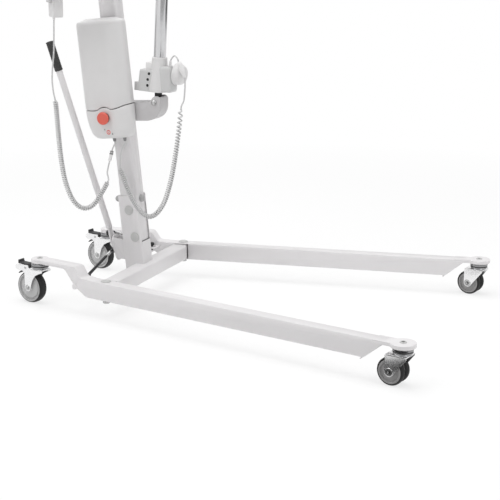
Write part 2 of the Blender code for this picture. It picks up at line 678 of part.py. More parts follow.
def front_caster(name, side):
    leg_frame = LEGS[name]
    plate = at(FRONT_SWIVEL, 0, 0)
    caster_head(f"front_caster_head_{name}", LEG_TOP, FRONT_PLATE, plate, leg_frame)
    heading = FRONT_SWIVEL_ANGLE - side * LEG_SPREAD
    frame = joint_empty(f"front_caster_{name}_joint", plate @ turn(heading, "Z"), leg_frame)
    cup_top = LEG_TOP - FRONT_PLATE - GAP - RACE_HEIGHT - GAP
    fork = race_cup(f"front_fork_{name}", cup_top, RACE_HEIGHT, Matrix(), frame)
    inner = FRONT_TREAD + FRONT_WHEEL_SPACING / 2 + WHEEL_SIDE_GAP
    sheet = front_fork_sheet()
    crown_top = cup_top - RACE_HEIGHT + 0.0010
    crown_rear, crown_front = -FRONT_TRAIL - FRONT_BOSS + 0.001, 0.0210
    crown = block(f"front_crown_{name}", (crown_front - crown_rear, 2 * inner + FORK_SHEET, 0.0036),
                  at((crown_front + crown_rear) / 2, 0, crown_top - 0.0021), frame)
    cut(crown, cylinder(f"front_crown_bore_{name}", 0.0090, 0.02, at(0, 0, crown_top), frame))
    fuse(fork, crown)
    for out in (-1, 1):
        fuse(fork, prism(f"front_sheet_{name}_{out}", sheet, FORK_SHEET,
                         at(0, out * (inner + FORK_SHEET / 2), 0) @ SIDE_VIEW, frame))
    axle_half = inner + FORK_SHEET + 0.0030
    fuse(fork, cylinder(f"front_axle_{name}", AXLE_RADIUS, 2 * axle_half - 0.001,
                        at(-FRONT_TRAIL, 0, FRONT_WHEEL_RADIUS) @ ALONG_Y, frame, 10))
    for out in (-1, 1):
        fuse(fork, cylinder(f"front_axle_nut_{name}_{out}", 0.0065, 0.0044,
                            at(-FRONT_TRAIL, out * (axle_half - 0.0014), FRONT_WHEEL_RADIUS) @ ALONG_Y, frame,
                            6))
    finish(fork, "zinc")
    for label, out in (("inner", -side), ("outer", side)):
        wheel_frame = joint_empty(f"front_wheel_{name}_{label}_joint", at(-FRONT_TRAIL, 0, FRONT_WHEEL_RADIUS),
                                  frame)
        middle = out * (FRONT_WHEEL_SPACING + FRONT_TREAD) / 2
        wheel = turned(f"front_wheel_{name}_{label}", small_wheel_profile(),
                       at(0, middle, 0) @ turn(-out * math.pi / 2, "X"),
                       wheel_frame, 15, ring=True)
        finish(wheel, "rubber")


def small_wheel_profile():
    """Tyre and dished hub of one twin wheel in one section, its outer face up."""
    r, half, bore = FRONT_WHEEL_RADIUS, FRONT_TREAD / 2, AXLE_RADIUS + RUNNING
    return [(bore, half - 0.0005), (0.0085, half - 0.0005), (0.0100, half - 0.0040),
            (r - 0.0105, half - 0.0040),
            (r - 0.0085, half), (r - 0.0025, half - 0.0010), (r, half - 0.0045), (r, -half + 0.0040),
            (r - 0.0040, -half), (bore, -half)]


def rear_fork_sheet():
    radius, trail = REAR_WHEEL_RADIUS, REAR_TRAIL
    boss = arc(-trail, radius, 0.0115, 325, 185, 5)
    return [(0.0245, 0.1125), (0.0245, 0.1055), (0.0080, 0.0990), (-0.0050, 0.0920),
            (-0.0170, 0.0760)] + boss + \
        [(-0.0495, 0.0960), (-0.0560, 0.1015), (-0.0820, 0.1020), (-0.0875, 0.1070), (-0.0875, 0.1145),
         (-0.0820, 0.1195), (-0.0350, 0.1215), (-0.0290, 0.1125)]


def rear_caster(name, side):
    leg_frame = LEGS[name]
    plate = at(-REAR_SWIVEL, 0, 0)
    caster_head(f"rear_caster_head_{name}", ARM_TOP, ARM_THICKNESS, plate, leg_frame)
    heading = REAR_SWIVEL_ANGLE - side * LEG_SPREAD
    frame = joint_empty(f"rear_caster_{name}_joint", plate @ turn(heading, "Z"), leg_frame)
    cup_top = ARM_BOTTOM - GAP - RACE_HEIGHT - GAP
    fork = race_cup(f"rear_fork_{name}", cup_top, RACE_HEIGHT, Matrix(), frame)
    inner = REAR_TREAD / 2 + 2 * WHEEL_SIDE_GAP
    crown_top = cup_top - RACE_HEIGHT + 0.0010
    crown = block(f"rear_crown_{name}", (0.0500, 2 * inner + FORK_SHEET, 0.0045),
                  at(-0.001, 0, crown_top - 0.0022), frame)
    cut(crown, cylinder(f"rear_crown_bore_{name}", 0.0090, 0.02, at(0, 0, crown_top), frame))
    fuse(fork, crown)
    for out in (-1, 1):
        fuse(fork, prism(f"rear_sheet_{name}_{out}", rear_fork_sheet(), FORK_SHEET,
                         at(0, out * (inner + FORK_SHEET / 2), 0) @ SIDE_VIEW, frame))
    axle_half = inner + FORK_SHEET + 0.0035
    fuse(fork,
         cylinder(f"rear_axle_{name}", AXLE_RADIUS, 2 * axle_half - 0.001,
                  at(-REAR_TRAIL, 0, REAR_WHEEL_RADIUS) @ ALONG_Y, frame, 10),
         cylinder(f"pedal_pin_{name}", PEDAL_PIN_RADIUS, 2 * (inner + FORK_SHEET) + 0.003,
                  at(*PEDAL_PIN) @ ALONG_Y, frame, 8))
    for out in (-1, 1):
        fuse(fork, cylinder(f"rear_axle_nut_{name}_{out}", 0.0075, 0.0050,
                            at(-REAR_TRAIL, out * (axle_half - 0.0016), REAR_WHEEL_RADIUS) @ ALONG_Y, frame, 6))
    finish(fork, "zinc")
    wheel_frame = joint_empty(f"rear_wheel_{name}_joint", at(-REAR_TRAIL, 0, REAR_WHEEL_RADIUS), frame)
    finish(turned(f"rear_hub_{name}", rear_hub_profile(), ALONG_Y, wheel_frame, 16, ring=True), "hub")
    finish(turned(f"rear_tyre_{name}", rear_tyre_profile(), ALONG_Y, wheel_frame, 16, ring=True), "rubber")
    pedal(name, frame)


def rear_hub_profile():
    """A hub with a deep dish on both sides and a rim that carries the tyre."""
    rim, half, bore = REAR_WHEEL_RADIUS - TYRE_THICKNESS, REAR_TREAD / 2, AXLE_RADIUS + RUNNING
    upper = [(bore, half), (0.0090, half), (0.0105, half - 0.0070), (rim - 0.0045, half - 0.0070),
             (rim, half - 0.0020)]
    return upper + [(r, -z) for r, z in reversed(upper)]


def rear_tyre_profile():
    r, half = REAR_WHEEL_RADIUS, REAR_TREAD / 2
    seat = r - TYRE_THICKNESS + GAP
    upper = [(seat, half - 0.0025), (seat + 0.0020, half - 0.0008), (r - 0.0050, half - 0.0020),
             (r, half - 0.0095)]
    return upper + [(x, -z) for x, z in reversed(upper)]


def pedal(name, frame):
    """The rocking brake pedal: a plate that turns up at its end, and a tab that points down behind the wheel."""
    joint = joint_empty(f"brake_pedal_{name}_joint", at(*PEDAL_PIN), frame)
    part = prism(f"brake_pedal_{name}", pedal_plate(), PEDAL_WIDTH, SIDE_VIEW, joint)
    fuse(part, prism(f"pedal_down_{name}", pedal_tab(), PEDAL_WIDTH - 0.003, SIDE_VIEW, joint),
         cylinder(f"pedal_hub_{name}", 0.0070, PEDAL_WIDTH + 0.003, ALONG_Y, joint, 16))
    cut(part, cylinder(f"pedal_bore_{name}", PEDAL_PIN_RADIUS + RUNNING, 0.1, ALONG_Y, joint, 12))
    return finish(part, "dark")


def pedal_plate():
    return [(0.0040, -0.0050), (0.0060, 0.0030), (0.0010, 0.0095), (-0.0330, 0.0100), (-0.0345, 0.0185),
            (-0.0380, 0.0185), (-0.0380, 0.0065), (-0.0100, 0.0050), (-0.0060, -0.0040)]


def pedal_tab():
    return [(0.0020, -0.0055), (-0.0060, 0.0005), (-0.0240, -0.0115), (-0.0400, -0.0235), (-0.0385, -0.0262),
            (-0.0200, -0.0140)]


# Mast with its head, and the bolts that hold it in the foot


def mast_column():
    outer = rounded_rectangle(MAST_DEPTH, MAST_WIDTH, MAST_CORNER, 2)
    inner = rounded_rectangle(MAST_DEPTH - 2 * MAST_WALL, MAST_WIDTH - 2 * MAST_WALL, MAST_CORNER - MAST_WALL,
                              2)
    part = prism("mast_column", outer, MAST_LENGTH, at(0, 0, MAST_LENGTH / 2), MAST)
    head = rounded_outline([(-0.030, 1.030), (0.030, 1.030), (0.0345, 1.120)], [0.006, 0.006, 0])
    head += arc(0, BOOM_PIVOT_UP_MAST, 0.0345, 0, 180, 6)
    out = MAST_WIDTH / 2 + CHEEK_SHEET / 2 - 0.0005
    for side in (-1, 1):
        fuse(part, prism(f"head_cheek_{side}", head, CHEEK_SHEET, at(0, side * out, 0) @ SIDE_VIEW, MAST))
    cut(part, prism("mast_bore", inner, MAST_LENGTH, at(0, 0, MAST_LENGTH / 2 - 0.005), MAST))
    for i, (x, up) in enumerate(SIDE_BOLTS):
        cut(part, cylinder(f"mast_hole_{i}", BOLT_RADIUS + RUNNING, 0.1, at(x, 0, up) @ ALONG_Y, MAST, 10))
    cut(part,
        cylinder("mast_clamp_hole", BOLT_RADIUS + RUNNING, 0.1, at(0, 0, CLAMP_BOLT_UP) @ ALONG_X, MAST, 10),
        cylinder("mast_head_hole", BOOM_PIVOT_RADIUS + RUNNING, 0.1, at(0, 0, BOOM_PIVOT_UP_MAST) @ ALONG_Y,
                 MAST, 12))
    return finish(part, "paint")


def mast_bolts():
    grip = MAST_WIDTH + 2 * (SIDE_PLAY + FOOT_SHEET + GAP)
    for label, (x, up) in zip(("mast_upper_bolt", "mast_lower_bolt"), SIDE_BOLTS):
        through_bolt(label, BOLT_RADIUS, grip, SIDE_CAP_RADIUS, CAP_HEIGHT, at(x, 0, up) @ ALONG_Y, MAST, "cap")
    rear = MAST_DEPTH / 2 + GAP + FOOT_SHEET + GAP
    front = MAST_DEPTH / 2 + GAP
    through_bolt("mast_clamp_bolt", BOLT_RADIUS, rear + front, CLAMP_CAP_RADIUS, 0.008,
                 at((front - rear) / 2, 0, CLAMP_BOLT_UP) @ ALONG_X, MAST, "cap")


def push_handle():
    up = HANDLE_UP_MAST
    centre = MAST.matrix_basis @ Vector((0.0, 0.0, up))
    side = MAST_WIDTH / 2 + GAP
    corners = [(centre.x, -side, centre.z), (centre.x, -HANDLE_HALF_WIDTH, centre.z),
               (HANDLE_REAR_X, -HANDLE_HALF_WIDTH, centre.z)]
    reach = centre.x - HANDLE_REAR_X
    front_bend = min(0.045, reach - HANDLE_BEND)
    near = rounded_path(corners, front_bend, 3)[:-1]
    rear = rounded_path([near[-1], (HANDLE_REAR_X, -HANDLE_HALF_WIDTH, centre.z), (HANDLE_REAR_X, 0, centre.z)],
                        HANDLE_BEND, 4)[:-1]
    half = near + rear[1:]
    path = half + [Vector((p[0], -p[1], p[2])) for p in reversed(half)]
    part = tube("push_handle", path, HANDLE_RADIUS, ROOT, 2)
    for out in (-1, 1):
        fuse(part, cylinder(f"handle_flange_{out}", HANDLE_FLANGE_RADIUS, 0.004,
                            at(centre.x, out * (side + 0.002), centre.z) @ ALONG_Y, ROOT, 12))
    finish(part, "paint")
    inner, outer, half = HANDLE_RADIUS + 2 * GAP, HANDLE_RADIUS + HANDLE_GRIP_WALL, HANDLE_GRIP_LENGTH / 2
    profile = [(inner, half), (outer - 0.001, half), (outer, half - 0.002), (outer, -half + 0.002),
               (outer - 0.001, -half),
               (inner, -half)]
    finish(turned("push_handle_grip", profile, at(HANDLE_REAR_X, 0, centre.z) @ ALONG_Y, ROOT, 14, ring=True),
           "rubber")


# Boom, hanger and spreader bar


def boom_arm():
    tube_end = BOOM_REACH - 0.042
    rear = 0.022
    outer = rounded_rectangle(BOOM_WIDTH, BOOM_HEIGHT, BOOM_CORNER, 2)
    inner = rounded_rectangle(BOOM_WIDTH - 2 * BOOM_WALL, BOOM_HEIGHT - 2 * BOOM_WALL, BOOM_CORNER - BOOM_WALL,
                              2)
    length = tube_end + rear
    part = prism("boom_arm", outer, length, at(length / 2 - rear, 0, 0) @ REAR_VIEW, BOOM)
    hollow = prism("boom_bore", inner, length, at(length / 2 - rear - 0.006, 0, 0) @ REAR_VIEW, BOOM)
    cut(part, hollow)
    boss_half = MAST_WIDTH / 2 - 0.0015
    lug = rounded_outline([(0.150, -0.027), (0.165, -0.090), (0.180, -0.113), (0.245, -0.113), (0.247, -0.085),
                           (0.262, -0.027)],
                          [0, 0.02, 0.012, 0.014, 0.02, 0])
    for side in (-1, 1):
        fuse(part, prism(f"boom_lug_{side}", lug, 0.005, at(0, side * 0.0170, 0) @ SIDE_VIEW, BOOM))
        fuse(part, cylinder(f"boom_lug_nut_{side}", 0.010, 0.0070,
                            at(BOOM_LUG_ALONG, side * 0.0220, -BOOM_LUG_BELOW) @ ALONG_Y, BOOM, 6))
        ear = [(tube_end - 0.05, -0.020), (BOOM_REACH, -0.016)] + arc(BOOM_REACH, 0, 0.016, -60, 60, 4) + \
            [(BOOM_REACH, 0.016), (tube_end - 0.05, 0.020)]
        fuse(part, prism(f"boom_ear_{side}", ear, 0.005, at(0, side * 0.0180, 0) @ SIDE_VIEW, BOOM))
    fuse(part, cylinder("boom_boss", 0.016, 2 * boss_half, ALONG_Y, BOOM))
    cut(part,
        cylinder("boom_bush", BOOM_PIVOT_RADIUS + RUNNING, 0.1, ALONG_Y, BOOM, 12),
        cylinder("hanger_bush", HANGER_PIN_RADIUS + RUNNING, 0.1, at(BOOM_REACH, 0, 0) @ ALONG_Y, BOOM, 12))
    finish(part, "paint")
    grip = MAST_WIDTH + 2 * (CHEEK_SHEET - 0.0005 + GAP)
    through_bolt("boom_pivot_bolt", BOOM_PIVOT_RADIUS, grip, 0.014, CAP_HEIGHT,
                 at(0, 0, BOOM_PIVOT_UP_MAST) @ ALONG_Y, MAST, "cap")


def hanger():
    eye_half = 0.0145
    stem_low = SPREADER_DROP + 0.0235
    yoke = cylinder("hanger_yoke", 0.014, 2 * eye_half, ALONG_Y, HANGER)
    collar = -stem_low + 0.008 - GAP
    stem = [(0.0, 0.004), (HANGER_STEM_RADIUS, 0.004), (HANGER_STEM_RADIUS, collar), (0.0130, collar),
            (0.0130, -stem_low + 0.002), (0.0110, -stem_low), (0.0, -stem_low)]
    outside = 0.0205 + GAP
    fuse(yoke, turned("hanger_stem", stem, Matrix(), HANGER, 14),
         cylinder("hanger_pin", HANGER_PIN_RADIUS, 2 * outside + 0.008, ALONG_Y, HANGER, 12))
    for side in (-1, 1):
        fuse(yoke, cylinder(f"hanger_pin_head_{side}", 0.009, 0.005,
                            at(0, side * (outside + 0.0025), 0) @ ALONG_Y, HANGER, 10))
    finish(yoke, "steel")
    swivel = joint_empty("spreader_joint", Matrix(), HANGER)
    hub_top, hub_low = -SPREADER_DROP + 0.0155, -SPREADER_DROP - 0.0155
    bore = HANGER_STEM_RADIUS + RUNNING
    hub = [(bore, hub_top), (HANGER_HUB_RADIUS - 0.003, hub_top), (HANGER_HUB_RADIUS, hub_top - 0.003),
           (HANGER_HUB_RADIUS, hub_low + 0.003), (HANGER_HUB_RADIUS - 0.003, hub_low), (bore, hub_low)]
    bar = turned("spreader_bar", hub, Matrix(), swivel, 14, ring=True)
    level = -SPREADER_DROP
    for side in (-1, 1):
        arm = rounded_path([(0, side * (bore + 0.004), level), (0, side * 0.060, level),
                            (0, side * SPREADER_HALF, level - 0.030)],
                           0.06, 3)
        fuse(bar, tube(f"spreader_arm_{side}", arm, SPREADER_TUBE, swivel, 1))
        for along in (SPREADER_HALF - 0.075, SPREADER_HALF - 0.006):
            fuse(bar, tube(f"spreader_hook_{side}_{along:.3f}", hook_path(side, along, level), HOOK_WIRE,
                           swivel, 1))
    return finish(bar, "paint")


def hook_path(side, along, level):
    """A hook that hangs below the bar and opens upward, away from the hub."""
    top = level - 0.030 * (along - 0.060) / (SPREADER_HALF - 0.060)
    centre_z = top - 0.048
    path = [Vector((0, side * (along - HOOK_RADIUS), top)),
            Vector((0, side * (along - HOOK_RADIUS), top - 0.030))]
    for angle in np.radians(np.linspace(180, 375, 5)):
        path.append(Vector((0, side * (along + HOOK_RADIUS * math.cos(angle)),
                            centre_z + HOOK_RADIUS * math.sin(angle))))
    return path


# Actuator


def actuator_bracket():
    rear = MAST_DEPTH / 2 + GAP
    low = MAST.matrix_basis @ Vector((rear, 0, 0.382))
    high = MAST.matrix_basis @ Vector((rear, 0, 0.440))
    a = ACTUATOR_PIN
    nose = [(a.x - 0.0150, a.z + 0.0005), (a.x - 0.0040, a.z + 0.0180), (a.x + 0.0120, a.z + 0.0200),
            (a.x + 0.0215, a.z + 0.0060), (a.x + 0.0215, a.z - 0.0230), (a.x + 0.0080, a.z - 0.0450),
            (a.x - 0.0160, a.z - 0.0570)]
    outline = rounded_outline([(high.x, high.z)] + nose + [(low.x, low.z)],
                              [0, 0.006, 0.008, 0.008, 0.010, 0.016, 0.016, 0.012, 0])
    part = prism("actuator_bracket", outline, 2 * BRACKET_HALF_WIDTH, SIDE_VIEW, ROOT)
    slot_back, slot_front = a.x - 0.0168, a.x + 0.0215 - BRACKET_WALL
    hollow = rounded_outline([(slot_back, a.z + 0.050), (slot_front, a.z + 0.050), (slot_front, a.z - 0.0170),
                              (slot_back, a.z - 0.0170)], [0, 0, 0.010, 0.010])
    cut(part, prism("bracket_hollow", hollow, 2 * (BRACKET_HALF_WIDTH - BRACKET_WALL), SIDE_VIEW, ROOT),
        cylinder("bracket_hole", ACTUATOR_PIN_RADIUS + RUNNING, 0.1, Matrix.Translation(a) @ ALONG_Y, ROOT, 16))
    finish(part, "paint")
    through_bolt("actuator_base_pin", ACTUATOR_PIN_RADIUS, 2 * (BRACKET_HALF_WIDTH + GAP), 0.0085, 0.006,
                 Matrix.Translation(a) @ ALONG_Y, ROOT, "steel")


def oblong_ring(x0, x1, half, z, corner):
    """A rounded rectangle between two x values at one height."""
    return [((x0 + x1) / 2 + x, y, z) for x, y in rounded_rectangle(x1 - x0, 2 * half, corner, 1)]


def actuator_housing():
    part = turned("actuator_housing", [(0.0, COLLAR_TOP), (0.0225, COLLAR_TOP), (0.0235, COLLAR_TOP - 0.004),
                                       (0.0255, 0.106),
                                       (0.0320, 0.040), (0.0300, 0.031), (0.0, 0.031)], Matrix(), ACTUATOR, 18)
    rear_box = [oblong_ring(-0.0590, 0.0, 0.0250, 0.031, 0.006),
                oblong_ring(-0.0605, 0.0, 0.0260, 0.040, 0.007),
                oblong_ring(-0.0565, 0.0, 0.0250, 0.092, 0.007),
                oblong_ring(-0.0540, 0.0, 0.0230, 0.097, 0.005)]
    front_box = [oblong_ring(0.0, 0.0510, 0.0230, 0.035, 0.006), oblong_ring(0.0, 0.0530, 0.0240, 0.042, 0.007),
                 oblong_ring(0.0, 0.0520, 0.0230, 0.106, 0.007), oblong_ring(0.0, 0.0480, 0.0200, 0.112, 0.005)]
    fuse(part, loft("gear_box_rear", rear_box, Matrix(), ACTUATOR),
         loft("gear_box_front", front_box, Matrix(), ACTUATOR),
         block("switch_cover", (0.030, 0.036, 0.028), at(-0.0235, 0, 0.105), ACTUATOR, 0.002, 1),
         block("rear_tab", (0.020, 0.030, 0.026), at(-0.0670, 0, 0.0425), ACTUATOR, 0.003, 1),
         cylinder("eye_lug", ACTUATOR_EYE, 0.020, ALONG_Y, ACTUATOR),
         block("eye_neck", (0.020, 0.020, 0.034), at(0, 0, 0.018), ACTUATOR))
    for i, (x, z) in enumerate(((-0.0155, 0.086), (-0.0190, 0.068), (-0.0190, 0.050))):
        cut(part, cylinder(f"screw_well_{i}", 0.0042, 0.010, at(x - 0.006, -0.0285, z) @ ALONG_Y, ACTUATOR, 8))
    cut(part, cylinder("eye_bore", ACTUATOR_PIN_RADIUS + RUNNING, 0.1, ALONG_Y, ACTUATOR, 12),
        cylinder("collar_bore", ACTUATOR_TUBE_RADIUS + 2 * GAP, 0.012, at(0, 0, COLLAR_TOP), ACTUATOR, 20))
    finish(part, "casing")
    motor = [(0.0, MOTOR_LENGTH), (0.0120, 0.0325), (0.0235, 0.0285), (0.0300, 0.0205), (0.0325, 0.0100),
             (MOTOR_RADIUS, 0.0), (0.0, 0.0)]
    motor_part = turned("actuator_motor", motor, at(MOTOR_START, MOTOR_SIDE, MOTOR_UP) @ ALONG_X, ACTUATOR, 16)
    finish(motor_part, "casing")
    low = COLLAR_TOP - 0.006 + GAP
    r, bore, end = ACTUATOR_TUBE_RADIUS, ACTUATOR_TUBE_BORE, ACTUATOR_TUBE_END
    tube_profile = [(bore, end), (r - 0.001, end), (r, end - 0.001), (r, low), (0.0, low), (0.0, low + 0.010),
                    (bore, low + 0.010)]
    finish(turned("actuator_tube", tube_profile, Matrix(), ACTUATOR, 20, ring=True), "aluminium")
    length = PIN_LINE.length
    slide = joint_empty("actuator_slide_joint", Matrix(), ACTUATOR)
    rod = cylinder("actuator_rod", ACTUATOR_ROD_RADIUS, ACTUATOR_ROD_LENGTH,
                   at(0, 0, length - ACTUATOR_ROD_LENGTH / 2), slide, 16)
    fuse(rod, cylinder("rod_eye", 0.0135, 0.0240, at(0, 0, length) @ ALONG_Y, slide, 16))
    finish(rod, "steel")


# Control box


def box_ring(left, right, front, up):
    """One D-shaped section of the box: flat back and front, with elliptic flanks."""
    middle = (left + right) / 2
    flat = BOX_FLAT_HALF * (right - left) / (2 * BOX_HALF)
    edge = min(BOX_EDGE, front - 0.004)
    ring = [(right, -BOX_BACK)]
    for angle in np.radians(np.linspace(0, 90, 5)):
        ring.append((middle + flat + (right - middle - flat) * math.cos(angle),
                     -edge - (front - edge) * math.sin(angle)))
    for angle in np.radians(np.linspace(90, 0, 5)):
        ring.append((middle - flat - (middle - flat - left) * math.cos(angle),
                     -edge - (front - edge) * math.sin(angle)))
    ring.append((left, -BOX_BACK))
    return [(x, y, up) for x, y in ring]


def seam_outline(shift):
    """The joint line between the battery and the unit: level, arched over the stop button, then rising."""
    x0, level = STOP_ACROSS, STOP_UP + 0.0235
    foot = math.sqrt(STOP_ARCH ** 2 - 0.0235 ** 2)
    reach = math.degrees(math.atan2(0.0235, foot))
    line = [(BOX_CENTRE - 0.12, level + 0.003), (x0 - foot - 0.014, level - 0.001)]
    line += arc(x0, STOP_UP, STOP_ARCH, 180 - reach, reach, 8)
    line += [(x0 + foot + 0.022, level + 0.0045), (x0 + foot + 0.040, level + 0.0100),
             (BOX_CENTRE + 0.12, level + 0.022)]
    return [(x, z + shift) for x, z in line]


def control_box():
    left, right = BOX_CENTRE - BOX_HALF, BOX_CENTRE + BOX_HALF
    levels = [(left + 0.034, right - 0.022, BOX_FRONT - 0.014, UNIT_BOTTOM),
              (left + 0.023, right - 0.013, BOX_FRONT - 0.0075, UNIT_BOTTOM + 0.005),
              (left + 0.0145, right - 0.007, BOX_FRONT - 0.0035, UNIT_BOTTOM + 0.015),
              (left + 0.007, right - 0.003, BOX_FRONT - 0.001, UNIT_BOTTOM + 0.035),
              (left + 0.0015, right, BOX_FRONT, UNIT_BOTTOM + 0.062),
              (left, right, BOX_FRONT, UNIT_BOTTOM + 0.085),
              (left, right, BOX_FRONT, UNIT_BOTTOM + 0.125)]
    unit = loft("control_unit", [box_ring(*level) for level in levels], Matrix(), MAST)
    lid = seam_outline(-SEAM_GAP / 2) + [(BOX_CENTRE + 0.12, 0.60), (BOX_CENTRE - 0.12, 0.60)]
    cut(unit, prism("unit_seam", lid, 0.3, at(0, -0.08, 0) @ SIDE_VIEW, MAST))
    for label, (x, y) in (("handset", HANDSET_BOOT), ("actuator", ACTUATOR_BOOT)):
        boot = [(0.0, UNIT_BOTTOM + 0.01), (0.0062, UNIT_BOTTOM + 0.01), (0.0058, UNIT_BOTTOM - 0.002),
                (0.0040, BOOT_BOTTOM), (0.0, BOOT_BOTTOM)]
        fuse(unit, turned(f"{label}_boot", boot, at(x, -y, 0), MAST, 12))
    stop_socket = BOX_FRONT - 0.012
    cut(unit, cylinder("stop_bore", 0.0120, 0.05, at(STOP_ACROSS, -stop_socket - 0.025, STOP_UP) @ ALONG_Y,
                       MAST))
    finish(unit, "casing")
    crown = [box_ring(left, right, BOX_FRONT, 0.405), box_ring(left, right, BOX_FRONT, BATTERY_SHOULDER),
             box_ring(left + 0.003, right - 0.003, BOX_FRONT - 0.003, BATTERY_SHOULDER + 0.006),
             box_ring(left + 0.034, right - 0.034, BOX_BACK + 0.016, BATTERY_CROWN)]
    battery = loft("battery_pack", crown, Matrix(), MAST)
    floor = seam_outline(SEAM_GAP / 2) + [(BOX_CENTRE + 0.12, 0.30), (BOX_CENTRE - 0.12, 0.30)]
    cut(battery, prism("battery_seam", floor, 0.3, at(0, -0.08, 0) @ SIDE_VIEW, MAST))
    finish(battery, "casing")
    finish(block("box_mounting_plate", (BOX_PLATE_WIDTH, BOX_PLATE, BOX_PLATE_HEIGHT),
                 at(0, -(MAST_WIDTH / 2 + GAP + BOX_PLATE / 2), BOX_PLATE_LOW + BOX_PLATE_HEIGHT / 2), MAST),
                 "steel")
    stop_frame = joint_empty("stop_joint", at(STOP_ACROSS, -BOX_FRONT, STOP_UP), MAST)
    r = STOP_RADIUS
    knob = [(0.0, 0.0175), (r * 0.70, 0.0165), (r * 0.95, 0.0140), (r, 0.0115), (r * 0.92, 0.0070),
            (0.0110, 0.0065), (0.0110, -0.0050), (0.0, -0.0050)]
    finish(turned("emergency_stop_button", knob, ALONG_Y, stop_frame), "red")


# Hand lever and the rods that open the legs


def hand_lever():
    half_sheet = ROCKER_SHEET / 2
    waist = 0.017
    rocker = arc(0, -ROCKER_ARM, 0.0125, 190, 350, 6) + arc(0, 0, waist, -15, 15, 2) + \
        arc(0, ROCKER_ARM, 0.0125, 0, 30, 2) + [(0.0070, 0.062), (-0.0070, 0.062)] + \
        arc(0, ROCKER_ARM, 0.0125, 150, 180, 2) + arc(0, 0, waist, 165, 195, 2)
    part = prism("hand_lever", rocker, ROCKER_SHEET, REAR_VIEW, LEVER)
    tube_start = 0.046
    tube_length = LEVER_LENGTH - 0.004 - tube_start
    fuse(part, cylinder("lever_tube", LEVER_TUBE_RADIUS, tube_length, at(0, 0, tube_start + tube_length / 2),
                        LEVER, 16))
    cut(part, cylinder("rocker_bore", BOLT_RADIUS + RUNNING, 0.05, ALONG_X, LEVER, 12))
    for up in (-ROCKER_ARM, ROCKER_ARM):
        length = ROD_BEHIND + ROD_EYE
        fuse(part, cylinder(f"rocker_pin_{up:.3f}", ROCKER_PIN, length, at(-length / 2, 0, up) @ ALONG_X, LEVER,
                            10))
    finish(part, "paint")
    inner, outer, top = LEVER_TUBE_RADIUS + GAP, LEVER_GRIP_RADIUS, LEVER_LENGTH
    low = top - LEVER_GRIP_LENGTH
    profile = [(0.0, top + 0.0020), (outer - 0.004, top + 0.0015), (outer - 0.001, top - 0.001),
               (outer, top - 0.004), (outer, low + 0.003),
               (outer - 0.001, low), (inner, low), (inner, top - 0.004 + GAP), (0.0, top - 0.004 + GAP)]
    finish(turned("lever_grip", profile, Matrix(), LEVER), "rubber")
    front = 0.013 + GAP
    back = half_sheet + GAP
    place = LEVER_PLANE @ at((front - back) / 2, 0, 0) @ ALONG_X
    through_bolt("lever_pivot_bolt", BOLT_RADIUS, front + back, 0.009, 0.005, place, ROOT, "dark")


def link_rod(name, side):
    """A rod from a rocker pin to the slotted tab on one leg, with an eye at the rocker and a pin at the tab."""
    up = ROCKER_ARM * side
    pin = LEVER.matrix_basis @ Vector((-ROD_BEHIND, 0, up))
    frame = joint_empty(f"link_rod_{name}_joint", Matrix.Translation(pin) @ turn(-LEVER_PLANE_LEAN, "Y"), ROOT)
    end_z = TAB_TOP + 0.0085
    tab = LEGS[name].matrix_basis @ Vector((-TAB_BACK, -side * TAB_REACH, end_z))
    far = frame.matrix_basis.inverted() @ tab
    lead = Vector((0.0, side * 0.020, 0.0))
    path = [lead * 0.3, lead, far.lerp(lead, 0.15), far]
    part = tube(f"link_rod_{name}", path, ROD_RADIUS, frame, 2)
    upright = frame.matrix_basis.inverted() @ Matrix.Translation(tab)
    fuse(part,
         cylinder(f"rod_eye_{name}", ROD_EYE, 0.008, ALONG_X, frame),
         cylinder(f"rod_foot_{name}", 0.0085, 0.009, upright, frame),
         cylinder(f"rod_pin_{name}", ROCKER_PIN, 0.022, upright @ at(0, 0, -0.011), frame, 10))
    cut(part, cylinder(f"rod_bore_{name}", ROCKER_PIN + 2 * RUNNING, 0.05, ALONG_X, frame, 12))
    return finish(part, "dark")


# Handset on the corner of the push handle


